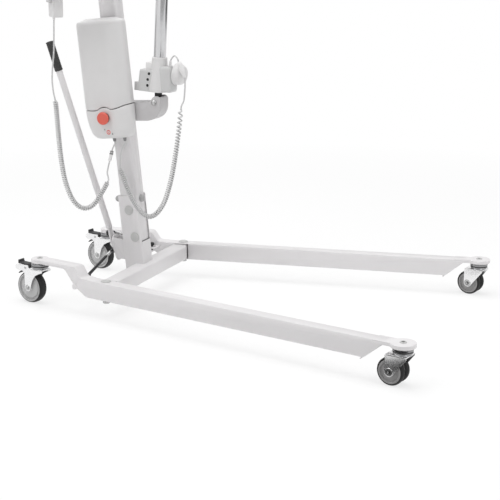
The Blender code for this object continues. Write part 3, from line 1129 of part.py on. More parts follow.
def handset():
    w, d, h = HANDSET_WIDTH, HANDSET_DEPTH, HANDSET_HEIGHT
    levels = ((0.0, 0.94), (0.006, 1.0), (h * 0.55, 1.0), (h - 0.012, 0.96), (h, 0.80))
    rings = [[(x, y, z) for x, y in rounded_rectangle(d * k, w * k, 0.006, 2)] for z, k in levels]
    body = loft("handset_body", rings, Matrix(), HANDSET)
    centre = MAST.matrix_basis @ Vector((0, 0, HANDLE_UP_MAST))
    bar = centre.z - HANDSET_PLACE.z
    back, out = -d / 2, 0.0100
    r = HANDLE_RADIUS + 0.0015
    hook = [(back + 0.004, bar + r + 0.006)] + arc(back - out - HANDLE_RADIUS, bar, r + 0.005, 75, 195, 6) + \
        arc(back - out - HANDLE_RADIUS, bar, r, 195, 75, 6) + [(back + 0.004, bar + r + 0.0005)]
    fuse(body, prism("handset_hook", hook, 0.022, SIDE_VIEW, HANDSET),
         block("handset_rest", (0.014, 0.022, 0.014), at(back - 0.004, 0, bar - HANDLE_RADIUS - 0.011), HANDSET,
               0.002, 1))
    relief = [(0.0, 0.004), (0.0050, 0.004), (0.0045, 0.0), (0.0035, -0.0080), (0.0, -0.0080)]
    offset = HANDSET.matrix_basis.inverted() @ Vector(HANDSET_DROP[0])
    fuse(body, turned("handset_relief", relief, at(offset.x, offset.y, 0), HANDSET, 12))
    for label, up in (("up", 0.105), ("down", 0.078)):
        cut(body, cylinder(f"{label}_well", HANDSET_BUTTON + 2 * RUNNING, 0.012, at(d / 2, 0, up) @ ALONG_X,
                           HANDSET))
    finish(body, "casing")
    for label, up in (("up", 0.105), ("down", 0.078)):
        frame = joint_empty(f"handset_{label}_joint", at(d / 2, 0, up), HANDSET)
        key = [(0.0, 0.0022), (HANDSET_BUTTON * 0.8, 0.0018), (HANDSET_BUTTON, 0.0005),
               (HANDSET_BUTTON, -0.0030), (0.0, -0.0030)]
        finish(turned(f"handset_{label}_button", key, ALONG_X, frame), "dark")


# Cords


def smooth_path(points, spacing, before=None, after=None):
    """A Catmull-Rom curve through the route's points, read at even distances.

    The neighbours set its end slopes.
    """
    p = np.array(points, float)
    p = np.vstack([2 * p[0] - p[1] if before is None else before, p,
                   2 * p[-1] - p[-2] if after is None else after])
    t = np.linspace(0, 1, 24, endpoint=False)[:, None]
    fine = []
    for a, b, c, d in zip(p, p[1:], p[2:], p[3:]):
        fine.append(0.5 * (2 * b + (c - a) * t + (2 * a - 5 * b + 4 * c - d) * t ** 2 + (3 * b - a - 3 * c + d) * t ** 3))
    fine = np.vstack(fine + [p[-2:-1]])
    run = np.concatenate([[0], np.cumsum(np.linalg.norm(np.diff(fine, axis=0), axis=1))])
    count = max(2, round(run[-1] / spacing) + 1)
    even = np.linspace(0, run[-1], count)
    if spacing > 2 * CORD_RADIUS:
        even = np.concatenate([[0, CORD_RADIUS], even[1:-1], [run[-1] - CORD_RADIUS, run[-1]]])
    return np.column_stack([np.interp(even, run, fine[:, k]) for k in range(3)]), run[-1]


def trimmed(points, start, end):
    """The path shortened by a gap at each end."""
    points = points.copy()
    for i, j, amount in ((0, 1, start), (-1, -2, end)):
        away = points[j] - points[i]
        points[i] += away / np.linalg.norm(away) * amount
    return points


def coil_path(points, curls, before, after):
    """A helix along a smooth centre line: straight for a diameter, out to full width in one curl, and back."""
    lead = 2 * CORD_RADIUS
    steps = curls * POINTS_PER_CURL
    centre, length = smooth_path(points, 0.001, before, after)
    run = np.linspace(0, length, len(centre))
    across = np.array([0.0, 1.0, 0.0])
    tangent = np.gradient(centre, axis=0)
    tangent /= np.linalg.norm(tangent, axis=1)[:, None]
    normal = [across - tangent[0] * (across @ tangent[0])]
    for t in tangent[1:]:
        n = normal[-1] - t * (normal[-1] @ t)
        normal.append(n / np.linalg.norm(n))
    normal = np.array(normal)
    binormal = np.cross(tangent, normal)
    s = np.linspace(lead, length - lead, steps + 1)
    angle = np.arange(steps + 1) * 2 * math.pi / POINTS_PER_CURL
    turns_in = np.arange(steps + 1) / POINTS_PER_CURL
    width = COIL_RADIUS * np.minimum(1, np.minimum(turns_in, curls - turns_in))

    def along(field):
        return np.column_stack([np.interp(s, run, field[:, k]) for k in range(3)])

    helix = along(centre) + width[:, None] * (
        np.cos(angle)[:, None] * along(normal) + np.sin(angle)[:, None] * along(binormal))
    wound = np.linalg.norm(np.diff(helix, axis=0), axis=1).sum()
    gaps = np.linalg.norm(helix[:, None] - helix[None], axis=2)
    far = np.abs(np.arange(steps + 1)[:, None] - np.arange(steps + 1)[None]) > POINTS_PER_CURL // 2
    least = gaps[far].min() - 2 * CORD_RADIUS
    start = centre[0] + tangent[0] * GAP / 2
    end = centre[-1] - tangent[-1] * GAP / 2
    return [start, *helix, end], wound + 2 * lead, least


def cord(name, points, before=None, after=None):
    path, length = smooth_path(points, CORD_STEP, before, after)
    finish(tube(name, trimmed(path, GAP / 2, GAP / 2), CORD_RADIUS, ROOT, 2), "cord")
    print(f"{name}: {length * 1000:.0f} mm long")


def coil(name, points, curls, before, after):
    path, wound, least = coil_path(points, curls, before, after)
    finish(tube(name, path, CORD_RADIUS, ROOT, 1), "cord")
    print(f"{name}: {wound * 1000:.0f} mm of cord in {curls} curls, least gap to itself {least * 1000:.2f} mm")


def along_line(a, b):
    """A place at a whose Z points to b."""
    direction = Vector(b) - Vector(a)
    return Matrix.Translation(a) @ direction.to_track_quat("Z", "Y").to_matrix().to_4x4(), direction.length


def boot_end(points, boot):
    """The route with its boot end led square to the boot's face, whichever end is nearer."""
    face = MAST.matrix_basis @ Vector((boot[0], -boot[1], BOOT_BOTTOM - GAP))
    lead = MAST.matrix_basis @ Vector((boot[0], -boot[1], BOOT_BOTTOM - 0.007))
    if (Vector(points[0]) - face).length < (Vector(points[-1]) - face).length:
        return (face, lead, *points[1:])
    return (*points[:-1], lead, face)


def cords():
    cord("handset_cord_drop", HANDSET_DROP, after=HANDSET_COIL[1])
    coil("handset_cord_coil", HANDSET_COIL, HANDSET_CURLS, HANDSET_DROP[-2], HANDSET_RISE[1])
    cord("handset_cord_rise", HANDSET_RISE, HANDSET_COIL[-2], CONNECTOR[1])
    place, length = along_line(*CONNECTOR)
    body = [(0.0, length - GAP), (0.0032, length - GAP), (0.0036, length * 0.86), (0.0055, length * 0.84),
            (0.0055, length * 0.52),
            (0.0047, length * 0.50), (0.0047, length * 0.06), (0.0035, GAP), (0.0, GAP)]
    finish(turned("handset_cord_connector", body, place, ROOT, 8), "casing")
    cord("handset_cord_tail", boot_end(HANDSET_TAIL, HANDSET_BOOT), before=CONNECTOR[0])
    cord("actuator_cord_drop", boot_end(ACTUATOR_DROP, ACTUATOR_BOOT), after=ACTUATOR_COIL[1])
    coil("actuator_cord_coil", ACTUATOR_COIL, ACTUATOR_CURLS, ACTUATOR_DROP[-2], ACTUATOR_RISE[1])
    cord("actuator_cord_rise", ACTUATOR_RISE, ACTUATOR_COIL[-2], PLUG_TOP)
    place, length = along_line(ACTUATOR_RISE[-1], PLUG_TOP)
    inverse = ACTUATOR.matrix_basis.inverted()
    plug = [(0.0, length), (0.0050, length), (0.0085, length * 0.80), (0.0085, length * 0.42),
            (0.0060, length * 0.28),
            (0.0035, 2 * GAP), (0.0, 2 * GAP)]
    part = turned("actuator_cord_plug", plug, inverse @ place, ACTUATOR, 8)
    top = inverse @ Vector(PLUG_TOP)
    gland = Vector((0.0400, -0.0080, 0.1123 + GAP))
    loop = [top - Vector((0, 0, 0.004)), top + Vector((-0.003, 0, 0.006)), top + Vector((-0.010, 0.002, 0.013)),
            top + Vector((-0.019, 0.005, 0.015)), gland + Vector((0.002, 0, 0.020)),
            gland + Vector((0, 0, 0.006))]
    path, _ = smooth_path(loop, 0.008)
    foot = [(0.0, 0.0180), (0.0040, 0.0180), (0.0062, 0.0120), (0.0062, 0.0), (0.0, 0.0)]
    fuse(part, tube("plug_loop", path, CORD_RADIUS, ACTUATOR, 1),
         turned("plug_gland", foot, Matrix.Translation(gland), ACTUATOR, 8))
    finish(part, "casing")


def centre_on_footprint():
    """Moves the root so that the origin is in the middle of the lift's length, on the floor."""
    bpy.context.view_layer.update()
    graph = bpy.context.evaluated_depsgraph_get()
    ends = []
    for obj in LIFT.objects:
        if obj.type == "MESH" and "cord" not in obj.name:
            shape = obj.evaluated_get(graph)
            points = np.array([point.co for point in shape.data.vertices])
            across = points @ np.array(shape.matrix_world)[0, :3] + shape.matrix_world[0][3]
            ends += [across.min(), across.max()]
    ROOT.location.x = -(min(ends) + max(ends)) / 2
    bpy.context.view_layer.update()
    print(f"root at x = {ROOT.location.x:.4f}")


base_frame()
for label, sign in SIDES:
    leg(label, sign)
    leg_pivot_bolt(label, sign)
    front_caster(label, sign)
    rear_caster(label, sign)
    link_rod(label, sign)
hand_lever()
mast_column()
mast_bolts()
push_handle()
boom_arm()
hanger()
actuator_bracket()
actuator_housing()
control_box()
handset()
cords()
centre_on_footprint()
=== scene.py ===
"""Dresses the electric patient lift: powder-coated steel, moulded plastic, plated casters, rubber and cords.

Metres, in the frame's own axes: +Z up, +X towards the boom's tip, +Y towards the lift's left side.
Every shape is a grid of points worked out as whole arrays, and every piece's place is in its mesh.
"""

import json
import math

import bmesh
import bpy
import numpy as np
from mathutils import Matrix, Vector


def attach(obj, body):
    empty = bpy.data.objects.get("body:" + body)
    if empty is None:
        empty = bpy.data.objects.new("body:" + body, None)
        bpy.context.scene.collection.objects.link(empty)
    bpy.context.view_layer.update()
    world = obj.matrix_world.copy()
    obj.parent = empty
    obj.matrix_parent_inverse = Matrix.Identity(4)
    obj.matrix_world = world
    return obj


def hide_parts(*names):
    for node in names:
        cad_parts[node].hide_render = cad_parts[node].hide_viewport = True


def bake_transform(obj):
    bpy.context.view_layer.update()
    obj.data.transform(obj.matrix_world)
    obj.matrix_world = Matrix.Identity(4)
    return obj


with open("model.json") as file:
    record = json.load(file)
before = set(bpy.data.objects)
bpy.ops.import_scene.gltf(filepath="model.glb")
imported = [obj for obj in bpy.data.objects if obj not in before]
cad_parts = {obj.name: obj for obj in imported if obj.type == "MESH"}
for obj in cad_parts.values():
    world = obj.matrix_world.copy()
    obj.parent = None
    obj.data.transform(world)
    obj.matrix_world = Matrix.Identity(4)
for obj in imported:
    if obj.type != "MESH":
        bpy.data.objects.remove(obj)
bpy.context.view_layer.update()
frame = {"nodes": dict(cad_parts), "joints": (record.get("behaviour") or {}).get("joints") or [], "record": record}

RECORD = frame["record"]
BODY_OF = {node: body for body, nodes in RECORD["behaviour"]["bodies"].items() for node in nodes}
PIVOT = next(joint["pos_m"] for joint in frame["joints"] if joint["name"] == "leg_left_spread")
BASE_X = PIVOT[0]
LEG_PIVOT_Y = PIVOT[1]

SIDES = (("right", -1), ("left", 1))
FULL_TURN = 2 * math.pi


def at(x=0.0, y=0.0, z=0.0):
    return Matrix.Translation((x, y, z))


def turn(angle, axis):
    return Matrix.Rotation(angle, 4, axis)


# Turns that lay Z along X or Y, and ones that stand a flat outline up, seen from the side or from behind
ALONG_X = turn(math.pi / 2, "Y")
ALONG_Y = turn(math.pi / 2, "X")
SIDE_VIEW = turn(math.pi / 2, "X")
REAR_VIEW = Matrix(((0, 0, 1, 0), (1, 0, 0, 0), (0, 1, 0, 0), (0, 0, 0, 1)))

# Base, legs and casters, as in the solids
LEG_SPREAD = math.radians(10.26)
LEG_TOP = 0.114
LEG_BOTTOM = 0.058
FRONT_SWIVEL = 0.974
FRONT_PLATE = 0.010
FRONT_DISC = 0.034
REAR_SWIVEL = 0.2636
ARM_TOP = 0.146
ARM_THICKNESS = 0.012
ARM_END = 0.026
RACE_RADIUS = 0.0275
RACE_HEIGHT = 0.010
FORK_SHEET = 0.0025
STEM_RADIUS = 0.005
AXLE_RADIUS = 0.004
RUNNING = 0.0003
FRONT_WHEEL = 0.0375
FRONT_TREAD = 0.0185
FRONT_SPACING = 0.0080
FRONT_TRAIL = 0.026
FRONT_HEADING = math.radians(-11)
FRONT_BOSS = 0.0125
REAR_WHEEL = 0.050
REAR_TREAD = 0.032
REAR_TRAIL = 0.037
REAR_HEADING = math.radians(-11)
WHEEL_PLAY = 0.0008
PEDAL_PIN = (-0.0445, 0.0, 0.1130)

# Mast, handle and boom
MAST_FOOT = (-0.034, 0.0, 0.177)
MAST_LEAN = math.radians(5.9)
MAST_DEPTH = 0.060
MAST_WIDTH = 0.050
MAST_GAP = 0.0003
FOOT_SHEET = 0.0045
FOOT_CHEEK = 0.118
SIDE_PLAY = 0.0005
BOOM_PIVOT_UP = 1.159
CHEEK_SHEET = 0.0055
SIDE_BOLTS = (("mast_upper_bolt", 0.0, 0.102), ("mast_lower_bolt", 0.011, 0.016))
CLAMP_UP = 0.134
HANDLE_RADIUS = 0.0125
HANDLE_UP = 0.782
HANDLE_REAR_X = -0.254
HANDLE_HALF = 0.221
HANDLE_BEND = 0.090
BOOM_RISE = math.radians(28)
BOOM_REACH = 0.920
BOOM_LUG = (0.2255, 0.0, -0.0957)
HANGER_DROP = 0.145
SPREADER_HALF = 0.225
HOOK_RADIUS = 0.018

# Actuator
ACTUATOR_PIN = (0.048, 0.0, 0.621)
BRACKET_HALF = 0.0265
BRACKET_SHEET = 0.004
TUBE_RADIUS = 0.01875
TUBE_BORE = 0.012
TUBE_END = 0.485
ROD_RADIUS = 0.011
ROD_LENGTH = 0.300
COLLAR_TOP = 0.137
MOTOR_FOOT = (0.0535, 0.006, 0.0895)

# Control box on the near side of the mast
BOX_CENTRE = -0.0215
BOX_HALF = 0.0815
BOX_FLAT = 0.0195
BOX_BACK = 0.0285
BOX_EDGE = 0.040
BOX_FRONT = 0.076
UNIT_BOTTOM = 0.334
BATTERY_SHOULDER = 0.686
BATTERY_CROWN = 0.7015
SEAM_GAP = 0.0028
STOP_ACROSS = -0.0215
STOP_UP = 0.3995
STOP_ARCH = 0.0325
HANDSET_BOOT = (-0.010, 0.052)
ACTUATOR_BOOT = (0.0255, 0.050)
BOOT_BOTTOM = 0.3235
LIGHT_RING = (-0.0146, 0.355)

# Hand lever and link rods
LEVER_PIVOT = (-0.119, 0.0, 0.165)
LEVER_PLANE_LEAN = math.radians(13.5)
LEVER_REST = math.radians(8.4)
LEVER_LENGTH = 0.660
LEVER_RADIUS = 0.010
ROCKER_ARM = 0.029
ROD_BEHIND = 0.0085
LINK_RADIUS = 0.005
TAB_BACK = 0.100
TAB_REACH = 0.035
TAB_TOP = 0.101

# Handset
HANDSET_PLACE = (-0.199, -0.170, 0.881)
HANDSET_TURN = math.radians(48)
HANDSET_SIZE = (0.030, 0.060, 0.150)
BUTTON_RADIUS = 0.010

# Frames of the bodies at rest
ROOT = at(BASE_X)
MAST = ROOT @ at(*MAST_FOOT) @ turn(-MAST_LEAN, "Y")
BOOM = Matrix.Translation(MAST @ Vector((0, 0, BOOM_PIVOT_UP))) @ turn(-BOOM_RISE, "Y")
ACTUATOR_FOOT = ROOT @ Vector(ACTUATOR_PIN)
PIN_LINE = BOOM @ Vector(BOOM_LUG) - ACTUATOR_FOOT
ACTUATOR_LEAN = math.atan2(PIN_LINE.x, PIN_LINE.z)
ACTUATOR = Matrix.Translation(ACTUATOR_FOOT) @ turn(ACTUATOR_LEAN, "Y")
HANGER = Matrix.Translation(BOOM @ Vector((BOOM_REACH, 0, 0)))
LEVER_PLANE = ROOT @ at(*LEVER_PIVOT) @ turn(-LEVER_PLANE_LEAN, "Y")
LEVER = LEVER_PLANE @ turn(LEVER_REST, "X")
HANDSET = ROOT @ at(*HANDSET_PLACE) @ turn(HANDSET_TURN, "Z")
LEGS = {name: ROOT @ at(0, side * LEG_PIVOT_Y) @ turn(side * LEG_SPREAD, "Z") for name, side in SIDES}

# Camera

PHOTO_WIDTH_PX = 500
PHOTO_SHIFT = -0.15
PHOTO_TARGET = (0.3536, 0.0, 0.4164)


def place_camera():
    """Stands where the photograph was taken from, level, looking slightly down, about 3.5 m off.

    The photograph is the lower part of a taller frame, so its middle lies below the lens's: the shift.
    """
    azimuth, pitch, distance, focal_px = 0.4071, 0.1973, 3.5383, 1184.1
    sine, cosine = math.sin(azimuth), math.cos(azimuth)
    back = Vector((sine * math.cos(pitch), -cosine * math.cos(pitch), math.sin(pitch)))
    right = Vector((cosine, sine, 0.0))
    up = back.cross(right)
    data = bpy.data.cameras.new("photo_camera")
    data.sensor_width = 36.0
    data.lens = focal_px / PHOTO_WIDTH_PX * data.sensor_width
    data.shift_y = PHOTO_SHIFT
    data.clip_end = 120.0
    camera = bpy.data.objects.new("photo_camera", data)
    place = Matrix((right, up, back)).transposed().to_4x4()
    place.translation = ROOT @ Vector(PHOTO_TARGET) + back * distance
    camera.matrix_world = place
    bpy.context.scene.collection.objects.link(camera)
    bpy.context.scene.camera = camera


# Shapes, as (points, faces)


def shell(rings, wrap=True, loop=False, caps=(True, True)):
    """Quads between each ring of points and the next, closed round, with a flat face over each end."""
    rings = np.asarray(rings, float)
    levels, count = rings.shape[:2]
    row = np.arange(levels if loop else levels - 1)[:, None]
    column = np.arange(count if wrap else count - 1)[None]
    after = (column + 1) % count
    above = (row + 1) % levels
    faces = np.stack([row * count + column, row * count + after,
                      above * count + after, above * count + column], -1)
    faces = faces.reshape(-1, 4).tolist()
    if caps[0] and not loop:
        faces.append(list(range(count))[::-1])
    if caps[1] and not loop:
        faces.append(list(range((levels - 1) * count, levels * count)))
    return rings.reshape(-1, 3), faces


def moved(shape, place):
    """A shape carried by a matrix."""
    m = np.array(place)
    return shape[0] @ m[:3, :3].T + m[:3, 3], shape[1]


def eased(points, radius, steps=3, closed=False):
    """A polyline whose corners are curves: (1-s)^2 start + 2s(1-s) corner + s^2 end.

    Each curve starts and ends a radius back from its corner.
    """
    p = np.asarray(points, float)
    before, after = np.roll(p, 1, axis=0), np.roll(p, -1, axis=0)
    to_before, to_after = before - p, after - p
    reach_before = np.maximum(np.linalg.norm(to_before, axis=1), 1e-9)
    reach_after = np.maximum(np.linalg.norm(to_after, axis=1), 1e-9)
    back = np.minimum(radius, 0.48 * np.minimum(reach_before, reach_after))
    if not closed:
        back[[0, -1]] = 0.0
    start = p + to_before * (back / reach_before)[:, None]
    end = p + to_after * (back / reach_after)[:, None]
    s = np.linspace(0, 1, steps + 1)[None, :, None]
    curve = (1 - s) ** 2 * start[:, None] + 2 * s * (1 - s) * p[:, None] + s ** 2 * end[:, None]
    curve = curve.reshape(-1, p.shape[1])
    keep = np.linalg.norm(curve - np.roll(curve, 1, axis=0), axis=1) > 1e-7
    keep[0] = True
    return curve[keep]


def turned(profile, steps=48, loop=False):
    """A profile of (radius, height) carried round Z: x = r cos a, y = r sin a, z = h."""
    radius, height = np.asarray(profile, float).T
    angle = np.linspace(0, FULL_TURN, steps, endpoint=False)
    rings = np.stack([radius[:, None] * np.cos(angle), radius[:, None] * np.sin(angle),
                      height[:, None] + 0 * angle], -1)
    return shell(rings, loop=loop, caps=(radius[0] > 1e-6, radius[-1] > 1e-6))


def swept(path, section, reference):
    """A closed section of (across, up) carried along a path: path + across * side + up * other.

    The side is the reference direction made square to the path.
    """
    path, section = np.asarray(path, float), np.asarray(section, float)
    tangent = np.gradient(path, axis=0)
    tangent /= np.linalg.norm(tangent, axis=1)[:, None]
    side = np.broadcast_to(np.asarray(reference, float), path.shape)
    side = side - tangent * np.sum(side * tangent, axis=1)[:, None]
    side /= np.linalg.norm(side, axis=1)[:, None]
    other = np.cross(tangent, side)
    rings = path[:, None] + section[None, :, :1] * side[:, None] + section[None, :, 1:] * other[:, None]
    return shell(rings)


def circle(radius, steps=20):
    """A ring of points: x = r cos a, y = r sin a."""
    angle = np.linspace(0, FULL_TURN, steps, endpoint=False)
    return np.stack([radius * np.cos(angle), radius * np.sin(angle)], -1)


def rounded_rectangle(width, height, radius, steps=5):
    """Corners of a rectangle eased by a radius, as (x, y)."""
    x, y = width / 2, height / 2
    return eased([(x, -y), (x, y), (-x, y), (-x, -y)], radius, steps, closed=True)


def slab(outline, depth, edge=0.0, steps=2):
    """A flat outline drawn out along Z, half to each side, with both rims drawn in by an eased edge.

    Along the edge the outline goes in by edge (1 - sin a) at the height half - edge (1 - cos a).
    """
    outline = np.asarray(outline, float)
    before, after = np.roll(outline, 1, axis=0), np.roll(outline, -1, axis=0)
    along = after - before
    area = np.sum(outline[:, 0] * after[:, 1] - after[:, 0] * outline[:, 1])
    normal = np.stack([along[:, 1], -along[:, 0]], -1) * np.sign(area)
    normal /= np.maximum(np.linalg.norm(normal, axis=1), 1e-9)[:, None]
    half = depth / 2
    angle = np.linspace(0, math.pi / 2, steps + 1) if edge else np.array([math.pi / 2])
    inset = edge * (1 - np.sin(angle))
    height = half - edge * (1 - np.cos(angle))
    height = np.concatenate([-height, height[::-1]])
    inset = np.concatenate([inset, inset[::-1]])
    flat = outline[None] - normal[None] * inset[:, None, None]
    return shell(np.concatenate([flat, np.broadcast_to(height[:, None, None], (*flat.shape[:2], 1))], -1))


def arc(x, y, radius, start, end, steps):
    """Points x + r cos a, y + r sin a of an arc about (x, y), from one angle to another in degrees."""
    angle = np.radians(np.linspace(start, end, steps + 1))
    return np.stack([x + radius * np.cos(angle), y + radius * np.sin(angle)], -1).tolist()


def hexagon(across_flats, height, edge=0.0006):
    """A nut or a bolt head: corners at across / sqrt 3 from the middle, every 60 degrees, and eased."""
    angle = np.radians(np.arange(6) * 60 + 30)
    corner = across_flats / math.sqrt(3)
    outline = np.stack([corner * np.cos(angle), corner * np.sin(angle)], -1)
    return slab(eased(outline, edge, 2, closed=True), height, edge)


def dome(radius, height, rim=0.35, steps=6):
    """Profile of a domed cap: r = radius sin a, z = height (rim + (1 - rim) cos a), down to its foot at 0."""
    r = radius * np.sin(np.linspace(0, math.pi / 2, steps + 1))
    z = height * (rim + (1 - rim) * np.cos(np.linspace(0, math.pi / 2, steps + 1)))
    return [(0.0, height), *zip(r[1:], z[1:]), (radius, 0.0)]


# Materials

WHITE = (1.0, 1.0, 1.0, 1.0)
DUST_MOST = 0.55
DUST_SPECKS = 260.0


def linear(code):
    """An sRGB hex colour as linear values."""
    value = np.array([int(code[i:i + 2], 16) for i in (0, 2, 4)]) / 255
    value = np.where(value <= 0.04045, value / 12.92, ((value + 0.055) / 1.055) ** 2.4)
    return (*value, 1.0)


def add_node(tree, kind, inputs=None, **settings):
    """A node with its settings, whose inputs are values or the sockets that feed them."""
    made = tree.nodes.new(kind)
    for name, value in settings.items():
        setattr(made, name, value)
    for name, value in (inputs or {}).items():
        if isinstance(value, bpy.types.NodeSocket):
            tree.links.new(value, made.inputs[name])
        else:
            made.inputs[name].default_value = value
    return made


def new_material(name):
    """An empty material with its node tree and its shader."""
    material = bpy.data.materials.new(name)
    material.use_nodes = True
    return material, material.node_tree, material.node_tree.nodes["Principled BSDF"]


def set_plain(shader, **sockets):
    """Sets the shader's inputs to plain values, with _ for the spaces in their names."""
    for socket, value in sockets.items():
        shader.inputs[socket.replace("_", " ")].default_value = value


def finish(name, light, shade, patch, roughness, grain, depth, stretch=(1, 1, 1), lean=0.0, dust=None,
           cells=False, **sockets):
    """A material with tone in patches, uneven gloss and a fine relief.

    light and shade are its two tones, patch is the size of a patch, grain the size of the relief and depth
    its height, all in metres. stretch draws the relief out along an axis that leans about Y. dust is a pale
    tone that settles low down, with the height that it reaches. cells makes the relief of crystals.
    """
    material, tree, shader = new_material(name)
    place = add_node(tree, "ShaderNodeTexCoord").outputs["Object"]
    leaning = add_node(tree, "ShaderNodeMapping", {"Vector": place, "Rotation": (0, lean, 0),
                                                   "Scale": stretch})
    patches = add_node(tree, "ShaderNodeTexNoise", {"Vector": place, "Scale": 1 / patch, "Detail": 3.0})
    tone = add_node(tree, "ShaderNodeMix", {0: patches.outputs["Fac"], 6: linear(shade), 7: linear(light)},
                    data_type="RGBA").outputs[2]
    if dust:
        height = add_node(tree, "ShaderNodeSeparateXYZ", {0: place}).outputs["Z"]
        low = add_node(tree, "ShaderNodeMapRange", {"Value": height, "From Min": 0.0, "From Max": dust[1],
                                                    "To Min": DUST_MOST, "To Max": 0.0}).outputs[0]
        specks = add_node(tree, "ShaderNodeTexNoise", {"Vector": place, "Scale": DUST_SPECKS, "Detail": 4.0})
        some = add_node(tree, "ShaderNodeMath", {0: low, 1: specks.outputs["Fac"]},
                        operation="MULTIPLY").outputs[0]
        tone = add_node(tree, "ShaderNodeMix", {0: some, 6: tone, 7: linear(dust[0])},
                        data_type="RGBA").outputs[2]
    tree.links.new(tone, shader.inputs["Base Color"])
    if cells:
        relief = add_node(tree, "ShaderNodeTexVoronoi", {"Vector": leaning.outputs[0], "Scale": 1 / grain})
        relief_height = relief.outputs["Distance"]
    else:
        relief = add_node(tree, "ShaderNodeTexNoise", {"Vector": leaning.outputs[0], "Scale": 1 / grain,
                                                       "Detail": 2.0})
        relief_height = relief.outputs["Fac"]
    gloss = add_node(tree, "ShaderNodeMapRange", {"Value": relief_height, "To Min": roughness[0],
                                                  "To Max": roughness[1]})
    tree.links.new(gloss.outputs[0], shader.inputs["Roughness"])
    bump = add_node(tree, "ShaderNodeBump", {"Height": relief_height, "Strength": 1.0, "Distance": depth})
    tree.links.new(bump.outputs[0], shader.inputs["Normal"])
    set_plain(shader, **sockets)
    return material


# Polyester powder coat: baked dust melts into a fine orange peel of about 1.5 mm, with a soft satin gloss
POWDER_COAT = finish("powder_coat_light_grey", "E6E4E5", "DFDDDE", 0.11, (0.34, 0.46), 0.0016, 0.00003)
# Moulded ABS casing: a spark-eroded mould leaves grains of about 0.4 mm, drawn at 0.9 mm so that they show
CASING = finish("moulded_abs_light_grey", "E0DFDF", "DAD9D9", 0.07, (0.30, 0.42), 0.0009, 0.00002)
# The gear case is moulded in a slightly darker grey than the column
GEAR_CASE = finish("moulded_abs_mid_grey", "CFCFCF", "C7C7C7", 0.05, (0.32, 0.44), 0.0009, 0.00002)
# The actuator's bracket has the mast's coat, painted a tone darker: painted shade, for the shadow that the box and
# the gear case cast on it
BRACKET_SHADED_COAT = finish("powder_coat_mid_grey", "C6C4C5", "BFBDBE", 0.06, (0.34, 0.46), 0.0016, 0.00003)
# The same ABS a shade lighter, for the clipped-on covers
COVER = finish("moulded_abs_white", "EAE9E9", "E4E3E3", 0.05, (0.40, 0.52), 0.0009, 0.00002)
# Bright zinc plate on pressed steel: pale cloudy crystals of 3 to 4 mm and a dulled shine
ZINC = finish("zinc_plated_steel", "F4F4F4", "E8E8E9", 0.009, (0.20, 0.34), 0.0035, 0.00002, Metallic=1.0,
              cells=True)
# Turned steel on the hardened races, painted darker than the bright steel as a painted dark reflection: fine tool
# marks, a cooler and sharper shine than the plate
RACE_STEEL_PAINTED_DARK = finish("hardened_race_steel", "A2A2A3", "7C7C7E", 0.006, (0.12, 0.24), 0.0030, 0.00001,
                    Metallic=1.0)
STEEL = finish("turned_bright_steel", "C4C4C4", "ABABAB", 0.012, (0.18, 0.32), 0.0008, 0.00001, Metallic=1.0)
# Clear anodised aluminium tube: drawing leaves fine lines along the tube, under a soft clear skin
ANODISED = finish("anodised_aluminium_tube", "DADADB", "CCCCCE", 0.030, (0.13, 0.20), 0.0006, 0.00001,
                  stretch=(1, 1, 0.02), lean=-ACTUATOR_LEAN, Metallic=0.85)
# Soft grey tread compound: matt, with floor dust on its lowest part
TYRE = finish("thermoplastic_rubber_tread", "2E2E2E", "242425", 0.012, (0.60, 0.80), 0.0011, 0.00004,
              dust=("6C6B69", 0.03), Specular_IOR_Level=0.30)
# Grey polyamide wheel centre: moulded, slightly translucent look and a satin gloss
HUB = finish("polyamide_wheel_centre", "C2C2C2", "B4B4B4", 0.020, (0.36, 0.50), 0.0010, 0.00002)
# The front wheels' polyamide is a darker grey
DARK_HUB = finish("polyamide_wheel_centre_dark", "989797", "888787", 0.020, (0.36, 0.50), 0.0010, 0.00002)
# Black polyamide levers and keys: fine mould texture, low gloss
BLACK_NYLON = finish("black_polyamide", "2B2B2C", "222223", 0.012, (0.42, 0.60), 0.0009, 0.00003)
# Ribbed rubber grips: nearly no gloss, worn a little paler in places
GRIP = finish("grip_rubber", "484848", "3A3A3A", 0.015, (0.62, 0.84), 0.0010, 0.00005,
              Specular_IOR_Level=0.30)
# Soft grey strain reliefs where the cords go in
BOOT_RUBBER = finish("boot_elastomer", "8F8F8F", "7E7E7E", 0.010, (0.50, 0.70), 0.0010, 0.00002)
# Push-on polyethylene caps: slightly waxy, and darker than the coat
CAP = finish("polyethylene_cap", "C9C9C8", "BFBFBE", 0.010, (0.38, 0.50), 0.0012, 0.00002)
# The same caps in a darker grey, over the clamp's bolt
DARK_CAP = finish("polyethylene_cap_dark", "B5B5B5", "A9A9A9", 0.010, (0.38, 0.50), 0.0012, 0.00002)
# Oxide-blacked steel rod: dark with a dim metal shine
BLACK_STEEL = finish("blacked_steel", "343435", "252526", 0.010, (0.32, 0.48), 0.0010, 0.00002, Metallic=0.6)
# Red moulded stop button: glossy polycarbonate with a faint mould texture
STOP_RED = finish("red_polycarbonate", "E2695A", "D85E4F", 0.020, (0.26, 0.36), 0.0012, 0.00001)
# Light ring: lit red lens
RING_RED = finish("red_lens", "E25B50", "D6473C", 0.004, (0.22, 0.30), 0.0010, 0.00001)
# Polyurethane cord jacket: smooth extruded plastic, softly glossy, with faint lines from handling
CORD = finish("polyurethane_cord_jacket", "D4D4D4", "C8C8C8", 0.020, (0.34, 0.46), 0.0010, 0.00002)


# Pieces

FLANKS = (("near", -1), ("far", 1))
SEW_WITHIN = 0.000002
SLIVER = 0.000001


def outward(place, x, y, z, out):
    """A spot on the near or far flank of a place, whose Z points away from the middle."""
    return place @ at(x, out * y, z) @ turn(-out * math.pi / 2, "X")


def both_ways(upper):
    """A profile of (radius, height) from its upper half, mirrored in z = 0."""
    return upper + [(radius, -height) for radius, height in reversed(upper)]


